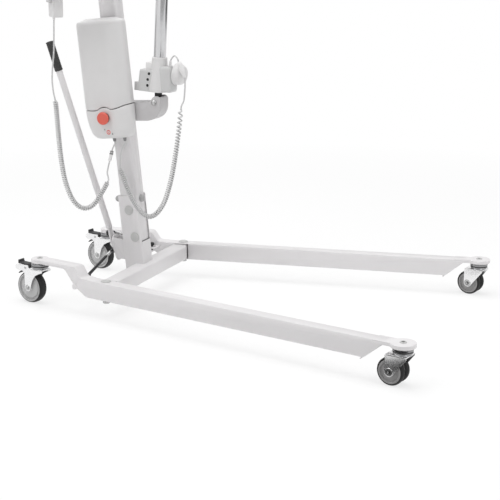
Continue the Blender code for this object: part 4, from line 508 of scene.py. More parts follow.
def add_piece(name, shape, place, material, node, **finishing):
    """Makes a piece of a shape and finishes it."""
    points, faces = moved(shape, place)
    mesh = bpy.data.meshes.new(name)
    mesh.from_pydata(points.tolist(), [], faces)
    return finish_piece(name, mesh, material, node, **finishing)


def add_turning(name, profile, ease, steps, place, material, node, loop=False, **finishing):
    """A piece turned round Z from (radius, height) points, whose corners are eased by (radius, steps)."""
    shape = turned(eased(profile, *ease), steps, loop)
    return add_piece(name, shape, place, material, node, **finishing)


def add_ring(name, profile, ease, steps, place, material, node, **finishing):
    """A turning with a hole: its profile runs round the ring's section and back to its start."""
    return add_turning(name, profile, ease, steps, place, material, node, loop=True, **finishing)


def add_block(name, size, edge, place, material, node, **finishing):
    """A rounded rectangle drawn out along Z, with rims eased by (radius, steps).

    Its size is (width, height, corner, depth).
    """
    *outline, depth = size
    shape = slab(rounded_rectangle(*outline), depth, *edge)
    return add_piece(name, shape, place, material, node, **finishing)


def finish_piece(name, mesh, material, node, stands=True, slot=None, edge=0.0, sharp=35, rides=True,
                 flat=False):
    """Closes a mesh's seams, turns its faces outwards, eases its edges and hangs it on the node's body.

    stands says that it replaces the node, slot is not used, edge is the width of the eased edges and sharp
    the least angle between faces that makes one. rides is off for a piece between two bodies, and flat makes
    level faces whole.
    """
    bm = bmesh.new()
    bm.from_mesh(mesh)
    bmesh.ops.remove_doubles(bm, verts=bm.verts, dist=SEW_WITHIN)
    bmesh.ops.dissolve_degenerate(bm, edges=bm.edges, dist=SLIVER)
    if flat:
        bmesh.ops.dissolve_limit(bm, angle_limit=math.radians(0.6), verts=bm.verts, edges=bm.edges)
    bmesh.ops.recalc_face_normals(bm, faces=bm.faces)
    bm.to_mesh(mesh)
    bm.free()
    mesh.materials.clear()
    mesh.materials.append(material)
    mesh.shade_smooth()
    obj = bpy.data.objects.new(name, mesh)
    bpy.context.scene.collection.objects.link(obj)
    if edge:
        bevel = obj.modifiers.new("eased_edges", "BEVEL")
        bevel.width = edge
        bevel.segments = 2
        bevel.limit_method = "ANGLE"
        bevel.angle_limit = math.radians(sharp)
        bevel.harden_normals = True
    else:
        mesh.set_sharp_from_angle(angle=math.radians(sharp))
    if rides:
        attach(obj, BODY_OF[node])
    if stands:
        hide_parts(node)
    return obj


def dress(node):
    """A coated copy of a welded solid: loose triangles sewn, flat faces made whole and edges eased."""
    mesh = frame["nodes"][node].data.copy()
    return finish_piece(f"{node}_shell", mesh, POWDER_COAT, node, edge=0.0008, sharp=50, flat=True)


# Cords, along the solids' own routes

CORD_RADIUS = 0.0024
COIL_RADIUS = 0.0058
POINTS_PER_CURL = 16
ROUTE_STEP = 0.0015
HANDSET_CURLS = 75
ACTUATOR_CURLS = 75
ACTUATOR_CROWD = 0.12
CROWD_POWER = 14
CORD_STILL_TO = 0.030
HANDSET_DROP = ((-0.2068, -0.170, 0.8725), (-0.2082, -0.171, 0.820), (-0.2097, -0.172, 0.776),
                (-0.2145, -0.173, 0.735), (-0.2172, -0.174, 0.694), (-0.2140, -0.174, 0.657),
                (-0.2085, -0.174, 0.632))
HANDSET_COIL = ((-0.2085, -0.174, 0.632), (-0.2058, -0.173, 0.597), (-0.2033, -0.170, 0.524),
                (-0.1998, -0.165, 0.449), (-0.1925, -0.158, 0.384), (-0.179, -0.148, 0.332),
                (-0.160, -0.138, 0.304), (-0.1384, -0.128, 0.297), (-0.1163, -0.117, 0.311),
                (-0.0995, -0.103, 0.341), (-0.0840, -0.088, 0.377))
HANDSET_RISE = ((-0.0840, -0.088, 0.377), (-0.0850, -0.0826, 0.387), (-0.0915, -0.077, 0.402),
                (-0.0905, -0.071, 0.422), (-0.0882, -0.0666, 0.4370))
CONNECTOR = ((-0.0882, -0.0666, 0.4370), (-0.0829, -0.0590, 0.4700))
HANDSET_TAIL = (-0.0795, -0.0545, 0.4830)
ACTUATOR_DROP = ((-0.0490, -0.0500, 0.4820), (-0.0575, -0.0505, 0.460), (-0.0609, -0.0520, 0.436),
                 (-0.0590, -0.0525, 0.4130))
ACTUATOR_COIL = ((-0.0590, -0.0525, 0.4130), (-0.0536, -0.0530, 0.398), (-0.0395, -0.0545, 0.364),
                 (-0.0210, -0.0560, 0.328), (0.0011, -0.0580, 0.299), (0.0241, -0.0600, 0.2785),
                 (0.0463, -0.0600, 0.2730), (0.0699, -0.0580, 0.2875), (0.0919, -0.0520, 0.3225),
                 (0.1081, -0.0450, 0.3772), (0.1197, -0.0400, 0.4366), (0.1287, -0.0350, 0.5002),
                 (0.1348, -0.0300, 0.5585), (0.1391, -0.0270, 0.6050))
ACTUATOR_RISE = ((0.1391, -0.0270, 0.6050), (0.1410, -0.0258, 0.6170), (0.1480, -0.0240, 0.6340),
                 (0.1505, -0.0215, 0.6690), (0.1500, -0.0200, 0.7010))
PLUG_TOP = (0.1300, -0.0200, 0.7480)


def smooth_path(points):
    """A curve through the points, read at even distances.

    Between b and c it is b + (c - a) t / 2 + (2a - 5b + 4c - d) t^2 / 2 + (3b - a - 3c + d) t^3 / 2.
    """
    p = np.array(points, float)
    p = np.vstack([2 * p[0] - p[1], p, 2 * p[-1] - p[-2]])
    a, b, c, d = (p[i:len(p) - 3 + i, None] for i in range(4))
    t = np.linspace(0, 1, 24, endpoint=False)[None, :, None]
    square, cube = 2 * a - 5 * b + 4 * c - d, 3 * b - a - 3 * c + d
    fine = 0.5 * (2 * b + (c - a) * t + square * t ** 2 + cube * t ** 3)
    fine = np.vstack([fine.reshape(-1, 3), p[-2]])
    run = np.concatenate([[0], np.cumsum(np.linalg.norm(np.diff(fine, axis=0), axis=1))])
    even = np.linspace(0, run[-1], max(2, round(run[-1] / ROUTE_STEP) + 1))
    return np.column_stack([np.interp(even, run, fine[:, k]) for k in range(3)])


def boot_end(boot):
    """The two points on the boot's line, where the cord goes up into the box, in base axes."""
    to_base = ROOT.inverted() @ MAST
    ups = (BOOT_BOTTOM - 0.007, BOOT_BOTTOM - 0.0003)
    return [tuple(to_base @ Vector((boot[0], -boot[1], up))) for up in ups]


def coiled(before, middle, after, curls, crowd=0.0):
    """One cord: straight, wound about its middle stretch, and straight again.

    The line is centre + width (cos a side + sin a other), where the width grows from nothing over the first
    half curl and falls to nothing over the last. A curl stands at (s + crowd s^14) / (1 + crowd) of the way,
    so crowd stretches the last few.
    """
    route = smooth_path((*before, *middle[1:], *after[1:]))
    start, end = (np.argmin(np.linalg.norm(route - np.array(middle[i]), axis=1)) for i in (0, -1))
    tangent = np.gradient(route, axis=0)
    tangent /= np.linalg.norm(tangent, axis=1)[:, None]
    side = np.array([0.0, 1.0, 0.0]) - tangent * tangent[:, 1:2]
    side /= np.linalg.norm(side, axis=1)[:, None]
    other = np.cross(tangent, side)
    share = np.linspace(0, 1, curls * POINTS_PER_CURL + 1)
    spot = start + (end - start) * (share + crowd * share ** CROWD_POWER) / (1 + crowd)
    angle = share * curls * FULL_TURN
    width = COIL_RADIUS * np.minimum(1, np.minimum(share, 1 - share) * curls * 2)
    index = np.arange(len(route))

    def read(field):
        return np.column_stack([np.interp(spot, index, field[:, k]) for k in range(3)])

    outwards = np.cos(angle)[:, None] * read(side) + np.sin(angle)[:, None] * read(other)
    line = np.vstack([route[:start], read(route) + width[:, None] * outwards, route[end + 1:]])
    straight = np.broadcast_to(outwards[-1], (len(route) - end - 1, 3))
    return line, np.vstack([side[:start], outwards, straight])


def add_cord(name, line, reference, nodes, with_pieces=(), between=()):
    """One cord along a line in base axes, which stands for its nodes and rides on no body when it lies between
    two.
    """
    line = line + np.array([BASE_X, 0.0, 0.0])
    shape = swept(line, circle(CORD_RADIUS, 8), reference)
    piece = add_piece(name, shape, Matrix(), CORD, nodes[0], sharp=80, rides=not between)
    if between:
        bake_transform(piece)
    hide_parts(*nodes[1:])


def facing(direction):
    """A turn that lays Z along a direction."""
    return direction.to_track_quat("Z", "Y").to_matrix().to_4x4()


def aim(a, b):
    """A place at a, in base axes, whose Z points to b, and the distance."""
    direction = Vector(b) - Vector(a)
    return Matrix.Translation(ROOT @ Vector(a)) @ facing(direction), direction.length


def add_cords():
    """The handset's cord with its in-line connector, and the actuator's cord."""
    place, length = aim(*CONNECTOR)
    body = [(0.0, length), (0.0033, length), (0.0036, length * 0.86), (0.0055, length * 0.83),
            (0.0055, length * 0.52), (0.0045, length * 0.50), (0.0045, length * 0.47),
            (0.0050, length * 0.45), (0.0050, length * 0.08), (0.0033, 0.0), (0.0, 0.0)]
    node = "handset_cord_connector"
    connector = add_turning("in_line_connector", body, (0.0006, 2), 32, place, COVER, node)
    ring = [(0.0030, length * 0.62), (0.0060, length * 0.62), (0.0050, length * 0.96),
            (0.0030, length * 0.96)]
    collar = add_ring("connector_collar", ring, (0.0006, 2), 32, place, BOOT_RUBBER, node, stands=False)
    rise = (*HANDSET_RISE, CONNECTOR[1], HANDSET_TAIL, *boot_end(HANDSET_BOOT))
    nodes = [f"handset_cord_{part}" for part in ("coil", "drop", "rise", "tail")]
    add_cord("handset_cord", *coiled(HANDSET_DROP, HANDSET_COIL, rise, HANDSET_CURLS), nodes,
             (connector, collar))
    drop = (*boot_end(ACTUATOR_BOOT)[::-1], *ACTUATOR_DROP)
    nodes = [f"actuator_cord_{part}" for part in ("coil", "drop", "rise")]
    ends = [(BASE_X + x, 0.0, 0.0) for x in (CORD_STILL_TO, ACTUATOR_COIL[-1][0])]
    line, reference = coiled(drop, ACTUATOR_COIL, ACTUATOR_RISE, ACTUATOR_CURLS, ACTUATOR_CROWD)
    add_cord("actuator_cord", line, reference, nodes, between=ends)


# Base and legs

SKIN = 0.0002


def add_base():
    """The coated weldments, their turned discs and ends, and the capped bolts that the legs turn on."""
    dress("base_frame")
    for name, side in SIDES:
        leg, bolt = f"leg_{name}", f"leg_pivot_bolt_{name}"
        dress(leg)
        here = LEGS[name]
        for label, x, top, radius, thick in (("front_disc", FRONT_SWIVEL, LEG_TOP, FRONT_DISC, FRONT_PLATE),
                                             ("arm_end", -REAR_SWIVEL, ARM_TOP, ARM_END, ARM_THICKNESS)):
            rim, high, low = radius + SKIN, top + SKIN, top - thick - SKIN
            disc = [(STEM_RADIUS, high), (rim, high), (rim, low), (STEM_RADIUS, low)]
            add_ring(f"{label}_{name}", disc, (0.0012, 4), 72, here @ at(x), POWDER_COAT, leg, stands=False)
        boss = both_ways([(0, 0.0235), (0.009, 0.0235)])
        add_turning(f"heel_boss_{name}", boss, (0.0012, 3), 40, here @ at(-0.1050, 0, 0.0862) @ ALONG_Y,
                    POWDER_COAT, leg, stands=False)
        pivot = ROOT @ at(0, side * LEG_PIVOT_Y)
        cap = dome(0.0150, 0.0042)[:-1] + [(0.0150, 0.0004)]
        add_turning(f"leg_pivot_cap_{name}", cap, (0.0006, 2), 48, pivot @ at(0, 0, LEG_TOP), CAP, bolt)
        ring = [(0.0098, 0.0), (0.0098, 0.0033), (0.0108, 0.0033), (0.0108, 0.0)]
        add_ring(f"leg_pivot_ring_{name}", ring, (0.0003, 2), 48, pivot @ at(0, 0, LEG_TOP + 0.0005), CAP,
                 bolt, stands=False)
        add_piece(f"leg_pivot_nut_{name}", hexagon(0.019, 0.0095), pivot @ at(0, 0, LEG_BOTTOM - 0.0052),
                  STEEL, bolt, stands=False)


# Casters

RACE_PLAY = 0.0006
RACE_BORE = 0.0085
TREAD_DEPTH = 0.0055
WHEEL_BORE = AXLE_RADIUS + RUNNING


def add_head(name, end, top, thickness, place):
    """The domed head of the stem above the plate, and the fixed half of the raceway below it."""
    node = f"{end}_caster_head_{name}"
    low, step = top + 0.0001, 0.0048
    collar = [(step, low), (step, top + 0.0022), (0.0058, top + 0.0030), (0.0088, top + 0.0024),
              (0.0098, low)]
    add_ring(f"{end}_stem_collar_{name}", collar, (0.0008, 3), 48, place, CAP, node, stands=False)
    socket = [(0, top + 0.0012), (step, top + 0.0012), (step, low), (0, low)]
    add_turning(f"{end}_stem_socket_{name}", socket, (0.0003, 2), 32, place, BLACK_STEEL, node, stands=False)
    under, r = top - thickness - 0.0003, RACE_RADIUS
    race = [(0.004, under), (r - 0.0030, under), (r - 0.0030, under - RACE_HEIGHT * 0.18),
            (r, under - RACE_HEIGHT * 0.24), (r, under - RACE_HEIGHT * 0.86),
            (r - 0.0016, under - RACE_HEIGHT), (0.004, under - RACE_HEIGHT)]
    # The upper race's darker tone is a painted reflection
    add_ring(f"{end}_upper_race_{name}", race, (0.0008, 3), 64, place, RACE_STEEL_PAINTED_DARK, node)


def add_fork(name, end, place, cup_top, inner, sheet, crown, axle, bolt, finishes):
    """The turning race, the crown plate, two cheeks with an eased edge, and the axle's nuts.

    inner is half the room between the cheeks, sheet their outline, crown the plate's (rear x, front x,
    thickness) and axle the axle's (x, z). bolt is (nut's height, washer's radius, nut's width), and finishes
    are the plates' and the nuts'.
    """
    plate_finish, nut_finish = finishes
    node = f"{end}_fork_{name}"
    r, low = RACE_RADIUS, cup_top - RACE_HEIGHT
    race = [(RACE_BORE, cup_top - 0.0016), (r - 0.0010, cup_top - 0.0016), (r, cup_top - 0.0030),
            (r - 0.0030, cup_top - RACE_HEIGHT * 0.8), (r - 0.0040, low), (RACE_BORE, low)]
    # The lower race's darker tone is a painted reflection
    add_ring(f"{end}_lower_race_{name}", race, (0.0009, 3), 64, place, RACE_STEEL_PAINTED_DARK, node)
    # A black ring in the seam between the races: painted shade for the dark gap of the ball groove
    seam_shade_ring = [(RACE_BORE, cup_top), (r - 0.0018, cup_top), (r - 0.0018, cup_top - 0.0020),
            (RACE_BORE, cup_top - 0.0020)]
    add_ring(f"{end}_race_seal_{name}", seam_shade_ring, (0.0003, 2), 64, place, BLACK_NYLON, node, stands=False)
    face = inner + FORK_SHEET
    rear_end, front_end, thick = crown
    add_block(f"{end}_fork_crown_{name}", (front_end - rear_end, 2 * face, 0.004, thick), (0.0006,),
              place @ at((rear_end + front_end) / 2, 0, low - thick / 2 + 0.001), plate_finish, node,
              stands=False)
    cheek = slab(eased(sheet, 0.0022, 3, closed=True), FORK_SHEET, 0.0005)
    nut, washer, across = bolt
    boss = [(0, 0.0012), (washer * 0.93, 0.0012), (washer, 0.0), (washer, -0.0004), (0, -0.0004)]
    tip = [(0, nut + 0.0030), (AXLE_RADIUS * 0.72, nut + 0.0026), (AXLE_RADIUS * 0.80, nut), (0, nut)]
    for flank, out in FLANKS:
        label = f"{name}_{flank}"
        add_piece(f"{end}_cheek_{label}", cheek, place @ at(0, out * (inner + FORK_SHEET / 2)) @ SIDE_VIEW,
                  plate_finish, node, stands=False)
        axle_end = outward(place, axle[0], face, axle[1], out)
        add_turning(f"{end}_washer_{label}", boss, (0.0005, 2), 48, axle_end, STEEL, node, stands=False)
        add_piece(f"{end}_nut_{label}", hexagon(across, nut, 0.0005), axle_end @ at(0, 0, 0.0010 + nut / 2),
                  nut_finish, node, stands=False)
        add_turning(f"{end}_axle_tip_{label}", tip, (0.0006, 2), 28, axle_end, STEEL, node, stands=False)


def front_sheet():
    """The front cheek's outline seen from the side: a crown edge, and an arc round the axle behind it."""
    boss = arc(-FRONT_TRAIL, FRONT_WHEEL, FRONT_BOSS, 320, 180, 24)
    return [(0.0215, 0.0832), (0.0215, 0.0775), (0.0180, 0.0735), *boss, (-FRONT_TRAIL - FRONT_BOSS, 0.0832)]


def rear_sheet():
    """The rear cheek's outline: an arc round the axle, with an ear that reaches back to the pedal's pin."""
    boss = arc(-REAR_TRAIL, REAR_WHEEL, 0.0115, 325, 185, 24)
    return [(0.0245, 0.1125), (0.0245, 0.1055), (0.0080, 0.0990), (-0.0050, 0.0920), (-0.0170, 0.0760), *boss,
            (-0.0495, 0.0960), (-0.0560, 0.1015), (-0.0820, 0.1020), (-0.0875, 0.1070), (-0.0875, 0.1145),
            (-0.0820, 0.1195), (-0.0350, 0.1215), (-0.0290, 0.1125)]


def add_front_caster(name, side):
    """A caster under the leg's disc, with two wheels side by side between the cheeks of its fork."""
    plate = LEGS[name] @ at(FRONT_SWIVEL)
    add_head(name, "front", LEG_TOP, FRONT_PLATE, plate)
    place = plate @ turn(FRONT_HEADING - side * LEG_SPREAD, "Z")
    cup_top = LEG_TOP - FRONT_PLATE - RACE_PLAY - RACE_HEIGHT
    inner = FRONT_TREAD + FRONT_SPACING / 2 + WHEEL_PLAY
    crown = (-FRONT_TRAIL - FRONT_BOSS + 0.001, 0.0210, 0.0036)
    add_fork(name, "front", place, cup_top, inner, front_sheet(), crown, (-FRONT_TRAIL, FRONT_WHEEL),
             (0.0022, 0.0112, 0.0095), (ZINC, BLACK_STEEL))
    r, half = FRONT_WHEEL, FRONT_TREAD / 2
    rim = r - TREAD_DEPTH
    tread = [(rim, half - 0.0012), (rim + 0.0012, half - 0.0001), (r - 0.0026, half - 0.0008),
             (r, half - 0.0040), (r, -half + 0.0042), (r - 0.0040, -half), (rim, -half)]
    centre = [(WHEEL_BORE, half - 0.0006), (0.0090, half - 0.0006), (0.0100, half - 0.0034),
              (0.0125, half - 0.0040), (rim - 0.0062, half - 0.0044), (rim - 0.0050, half - 0.0004),
              (rim - 0.0004, half + 0.0002), (rim + 0.0002, half - 0.0030), (rim, -half + 0.0002),
              (WHEEL_BORE, -half + 0.0002)]
    for label, out in (("inner", -side), ("outer", side)):
        node = f"front_wheel_{name}_{label}"
        wheel = outward(place, -FRONT_TRAIL, (FRONT_SPACING + FRONT_TREAD) / 2, FRONT_WHEEL, out)
        add_ring(f"front_tread_{name}_{label}", tread, (0.0022, 4), 96, wheel, TYRE, node)
        add_ring(f"front_wheel_disc_{name}_{label}", centre, (0.0006, 3), 72, wheel, DARK_HUB, node,
                 stands=False, slot="wheel_hub")


def add_rear_caster(name, side):
    """A caster with one wide wheel between its cheeks, and the brake pedal on their ears."""
    plate = LEGS[name] @ at(-REAR_SWIVEL)
    add_head(name, "rear", ARM_TOP, ARM_THICKNESS, plate)
    place = plate @ turn(REAR_HEADING - side * LEG_SPREAD, "Z")
    cup_top = ARM_TOP - ARM_THICKNESS - RACE_PLAY - RACE_HEIGHT
    inner = REAR_TREAD / 2 + 2 * WHEEL_PLAY
    add_fork(name, "rear", place, cup_top, inner, rear_sheet(), (-0.0260, 0.0240, 0.0045),
             (-REAR_TRAIL, REAR_WHEEL), (0.0026, 0.0095, 0.0112), (ZINC, STEEL))
    for flank, out in FLANKS:
        spot = outward(place, PEDAL_PIN[0], inner + FORK_SHEET, PEDAL_PIN[2], out)
        add_piece(f"pedal_rivet_{name}_{flank}", turned(dome(0.0042, 0.0012), 28), spot, STEEL,
                  f"rear_fork_{name}", stands=False)
    wheel = place @ at(-REAR_TRAIL, 0, REAR_WHEEL) @ ALONG_Y
    r, half = REAR_WHEEL, REAR_TREAD / 2
    rim = r - TREAD_DEPTH
    tread = both_ways([(rim, half - 0.0025), (rim + 0.0012, half - 0.0010), (r - 0.0030, half - 0.0022),
                       (r - 0.0006, half - 0.0085), (r, half - 0.0120)])
    add_ring(f"rear_tread_{name}", tread, (0.0022, 4), 112, wheel, TYRE, f"rear_tyre_{name}")
    centre = both_ways([(WHEEL_BORE, half), (0.0088, half), (0.0100, half - 0.0020), (0.0112, half - 0.0040),
                        (rim - 0.0105, half - 0.0046), (rim - 0.0090, half - 0.0082),
                        (rim - 0.0050, half - 0.0082), (rim - 0.0036, half - 0.0010),
                        (rim - 0.0004, half - 0.0006), (rim, half - 0.0018)])
    add_ring(f"rear_wheel_centre_{name}", centre, (0.0009, 3), 88, wheel, HUB, f"rear_hub_{name}")
    add_pedal(name, place @ at(*PEDAL_PIN))


def add_pedal(name, joint):
    """A pedal on a hub: a plate that turns up at its end, and a tab that points down behind the wheel."""
    node = f"brake_pedal_{name}"
    plate = [(0.0040, -0.0050), (0.0060, 0.0030), (0.0010, 0.0095), (-0.0330, 0.0100), (-0.0345, 0.0185),
             (-0.0380, 0.0185), (-0.0380, 0.0065), (-0.0100, 0.0050), (-0.0060, -0.0040)]
    tab = [(0.0020, -0.0055), (-0.0060, 0.0005), (-0.0240, -0.0115), (-0.0400, -0.0235), (-0.0385, -0.0262),
           (-0.0200, -0.0140)]
    for label, outline, ease, width, edge in (("plate", plate, (0.0024, 4), 0.024, 0.0012),
                                              ("tab", tab, (0.0014, 3), 0.021, 0.0010)):
        shape = slab(eased(outline, *ease, closed=True), width, edge, 3)
        add_piece(f"pedal_{label}_{name}", shape, joint @ SIDE_VIEW, BLACK_NYLON, node,
                  stands=label == "plate")
    hub = both_ways([(0.0033, 0.0135), (0.0070, 0.0135)])
    add_ring(f"pedal_hub_{name}", hub, (0.0008, 2), 36, joint @ ALONG_Y, BLACK_NYLON, node, stands=False)


# Mast, handle and boom

# Heights of the caps at a bolt's low and high end
SIDE_CAPS = (0.0055, 0.0055)
CLAMP_CAPS = (0.0260, 0.0120)
PIN_CAPS = (0.006, 0.006)
GRIP_HALF = 0.090
SPREADER_LEVEL = 0.060
SPREADER_FALL = 0.030
STEM_BELOW = 0.0235


def add_cap_pair(node, half, radius, heights, place, material):
    """A push-on cap at each end of a through bolt, its rim a hair off the face that it sits on."""
    for label, flip, height in (("low", turn(math.pi, "X"), heights[0]), ("high", Matrix(), heights[1])):
        profile = [*dome(radius, height)[:-1], (radius, 0.0003), (0, 0.0003)]
        add_turning(f"{node}_{label}_cap", profile, (0.0006, 2), 48, place @ flip @ at(0, 0, half), material,
                    node, stands=label == "high")


def add_mast():
    """The coated column, painted shadow lines where it sits in the foot and beside the foot's cheek, and the caps
    of its bolts.
    """
    dress("mast_column")
    face = MAST_DEPTH / 2 + 0.0004
    # Two thin dark strips are painted shadow: one in the gap where the mast sits in the foot, one beside the
    # foot's far cheek
    seat_shadow_strip = slab(rounded_rectangle(0.0018, MAST_WIDTH, 0.0003, 1), 0.0022)
    cheek_shadow_strip = slab(rounded_rectangle(0.0016, 0.0010, 0.0003, 1), FOOT_CHEEK)
    add_piece("foot_sill", seat_shadow_strip, MAST @ at(face, 0, 0.0006), BLACK_NYLON, "base_frame", stands=False)
    add_piece("foot_reveal", cheek_shadow_strip, MAST @ at(face, MAST_WIDTH / 2 + 0.0004, FOOT_CHEEK / 2), DARK_CAP,
              "base_frame", stands=False)
    half = MAST_WIDTH / 2 + SIDE_PLAY + FOOT_SHEET
    for node, x, up in SIDE_BOLTS:
        add_cap_pair(node, half, 0.0150, SIDE_CAPS, MAST @ at(x, 0, up) @ ALONG_Y, CAP)
    rear, front = MAST_DEPTH / 2 + MAST_GAP + FOOT_SHEET, MAST_DEPTH / 2
    add_cap_pair("mast_clamp_bolt", (rear + front) / 2, 0.0115, CLAMP_CAPS,
                 MAST @ at((front - rear) / 2, 0, CLAMP_UP) @ ALONG_X, DARK_CAP)
    add_cap_pair("boom_pivot_bolt", MAST_WIDTH / 2 + CHEEK_SHEET - 0.0005, 0.0140, SIDE_CAPS,
                 MAST @ at(0, 0, BOOM_PIVOT_UP) @ ALONG_Y, CAP)


def ribbed_sleeve(bore, radius, low, high, ribs, closed_end=False):
    """A rubber sleeve with grooves between its ribs: r = radius - rim - groove (1 - cos a) / 2."""
    rim, groove = 0.0004, 0.0009
    height = np.linspace(low + 0.003, high - 0.003, ribs * 8 + 1)
    wave = radius - rim - groove / 2 * (1 - np.cos(np.linspace(0, ribs * FULL_TURN, ribs * 8 + 1)))
    outside = [(radius - 0.0012, low), (radius, low + 0.0012), *zip(wave, height), (radius, high - 0.0012),
               (radius - 0.0012, high)]
    top = [(bore, high)]
    if closed_end:
        top = [(radius * 0.55, high + 0.0012), (0.0, high + 0.0015), (0.0, high - 0.004),
               (bore, high - 0.004)]
    return turned([(bore, low), *outside, *top], 40, loop=True)


def add_handle():
    """One bent tube from one side of the mast round to the other, with a ribbed sleeve across the back."""
    centre = MAST @ Vector((0, 0, HANDLE_UP))
    side, rear = MAST_WIDTH / 2 + MAST_GAP, HANDLE_REAR_X + BASE_X
    half = [(centre.x, side, centre.z), (centre.x, HANDLE_HALF, centre.z), (rear, HANDLE_HALF, centre.z),
            (rear, 0.06, centre.z)]
    reach = np.array([0, min(0.045, centre.x - rear - HANDLE_BEND), HANDLE_BEND, 0, 0, HANDLE_BEND, 0.045, 0])
    corners = [*half, *[(x, -y, z) for x, y, z in reversed(half)]]
    tube = swept(eased(corners, reach, 14), circle(HANDLE_RADIUS, 28), (0, 0, 1))
    add_piece("handle_tube", tube, Matrix(), POWDER_COAT, "push_handle", sharp=60)
    flange = [(0.012, 0.0), (0.021, 0.0), (0.021, 0.0030), (0.0150, 0.0044), (0.012, 0.0044)]
    for label, out in FLANKS:
        add_ring(f"handle_flange_{label}", flange, (0.0008, 2), 48,
                 outward(Matrix(), centre.x, side, centre.z, out), POWDER_COAT, "push_handle", stands=False)
    add_piece("handle_sleeve", ribbed_sleeve(0.0128, 0.0155, -GRIP_HALF, GRIP_HALF, 30),
              at(rear, 0, centre.z) @ ALONG_Y, GRIP, "push_handle_grip", sharp=60)


def add_boom():
    """The coated boom, the hanger's eye, stem and pin, and the spreader's arms with their sling hooks."""
    dress("boom_arm")
    node, across = "hanger_yoke", HANGER @ ALONG_Y
    stem_low = HANGER_DROP + STEM_BELOW
    eye = both_ways([(0.0, 0.0145), (0.014, 0.0145)])
    add_turning("hanger_eye", eye, (0.0012, 3), 56, across, STEEL, node)
    collar = -stem_low + 0.0077
    stem = [(0, 0.004), (0.008, 0.004), (0.008, collar), (0.013, collar), (0.013, -stem_low + 0.002),
            (0.0110, -stem_low), (0.0, -stem_low)]
    add_turning("hanger_stem", stem, (0.001, 3), 48, HANGER, STEEL, node, stands=False)
    pin = both_ways([(0, 0.0262), (0.0070, 0.0262), (0.0090, 0.0246), (0.0090, 0.0210), (0.005, 0.0208)])
    add_turning("hanger_cross_pin", pin, (0.0005, 2), 40, across, STEEL, node, stands=False)
    node, place = "spreader_bar", HANGER @ at(0, 0, -HANGER_DROP)
    hub = both_ways([(0.0083, 0.0155), (0.0150, 0.0155), (0.0180, 0.0125)])
    add_ring("spreader_hub", hub, (0.002, 4), 56, place, POWDER_COAT, node)
    for name, side in SIDES:
        arm = [(0, side * 0.0125, 0), (0, side * SPREADER_LEVEL, 0),
               (0, side * SPREADER_HALF, -SPREADER_FALL)]
        add_piece(f"spreader_arm_{name}", swept(eased(arm, 0.06, 14), circle(0.011, 28), (1, 0, 0)), place,
                  POWDER_COAT, node, stands=False, edge=0.0015, sharp=60)
        for label, along in (("inner", SPREADER_HALF - 0.075), ("outer", SPREADER_HALF - 0.006)):
            top = -SPREADER_FALL * (along - SPREADER_LEVEL) / (SPREADER_HALF - SPREADER_LEVEL)
            leg = [(0, side * (along - HOOK_RADIUS), top), (0, side * (along - HOOK_RADIUS), top - 0.030)]
            bend = [(0, side * y, z) for y, z in arc(along, top - 0.048, HOOK_RADIUS, 180, 375, 26)]
            add_piece(f"sling_hook_{name}_{label}", swept(leg + bend, circle(0.006, 20), (1, 0, 0)), place,
                      POWDER_COAT, node, stands=False, edge=0.0018, sharp=60)


# Actuator

# Heights up the mast between which the bracket lies against it
BRACKET_LOW = 0.382
BRACKET_HIGH = 0.440
COLUMN_FOOT = 0.1318
# Screws on both flanks of the gear case, as (x, half width, z)
CASE_SCREWS = ((-0.0215, 0.0236, 0.086), (-0.0250, 0.0240, 0.068), (-0.0250, 0.0243, 0.050))
PLUG_GLAND = (0.0400, -0.0080, 0.1126)


def oblong(x0, x1, half, z, corner):
    """A rounded rectangle between two x values at one height."""
    outline = rounded_rectangle(x1 - x0, 2 * half, corner, 6)
    return np.column_stack([outline + np.array([(x0 + x1) / 2, 0.0]), np.full(len(outline), z)])


def casing_box(levels):
    """A casing of rounded rectangles (x0, x1, half, z, corner), its levels eased into one curved wall."""
    return shell([oblong(*row) for row in eased(levels, 0.004, 3)])


def ribbed_boot(low, high, radius, slope, depth, ribs):
    """The ribbed flank of a strain relief, as (radius, height): r = radius + slope z + depth cos a."""
    height = np.linspace(low, high, ribs * 8 + 1)
    angle = np.linspace(0, ribs * FULL_TURN, ribs * 8 + 1)
    return zip(radius + slope * height + depth * np.cos(angle), height)


def add_bracket():
    """A deep folded bracket: two cheeks with a round nose, and the web and back between them."""
    node = "actuator_bracket"
    x, _, z = ACTUATOR_PIN
    to_base, back = ROOT.inverted() @ MAST, MAST_DEPTH / 2 + MAST_GAP
    low, high = ((to_base @ Vector((back, 0, up))).xz for up in (BRACKET_LOW, BRACKET_HIGH))
    nose = [(x + 0.0120, z + 0.0200), (x + 0.0215, z + 0.0140), (x + 0.0215, z - 0.0230),
            (x + 0.0080, z - 0.0450), (x - 0.0160, z - 0.0570)]
    side = eased([high, (x - 0.0150, z + 0.0005), (x - 0.0040, z + 0.0180), *nose, low],
                 [0, 0.006, 0.010, 0.010, 0.016, 0.022, 0.024, 0.014, 0], 8)
    web = eased([high, (x - 0.0168, z + 0.0010), (x - 0.0168, z - 0.0170), (x + 0.0172, z - 0.0170),
                 (x + 0.0172, z + 0.0175), *nose[1:], low],
                [0, 0.001, 0.008, 0.008, 0.001, 0.016, 0.022, 0.024, 0.014, 0], 8)
    inside = BRACKET_HALF - BRACKET_SHEET
    cheek = slab(side, BRACKET_SHEET, 0.0010)
    # The cheeks and the web take the darker coat, which is painted shade
    for label, out in FLANKS:
        add_piece(f"bracket_cheek_{label}", cheek,
                  ROOT @ at(0, out * (inside + BRACKET_SHEET / 2)) @ SIDE_VIEW, BRACKET_SHADED_COAT, node,
                  stands=label == "near")
    add_piece("bracket_web", slab(web, 2 * inside), ROOT @ SIDE_VIEW, BRACKET_SHADED_COAT, node, stands=False)


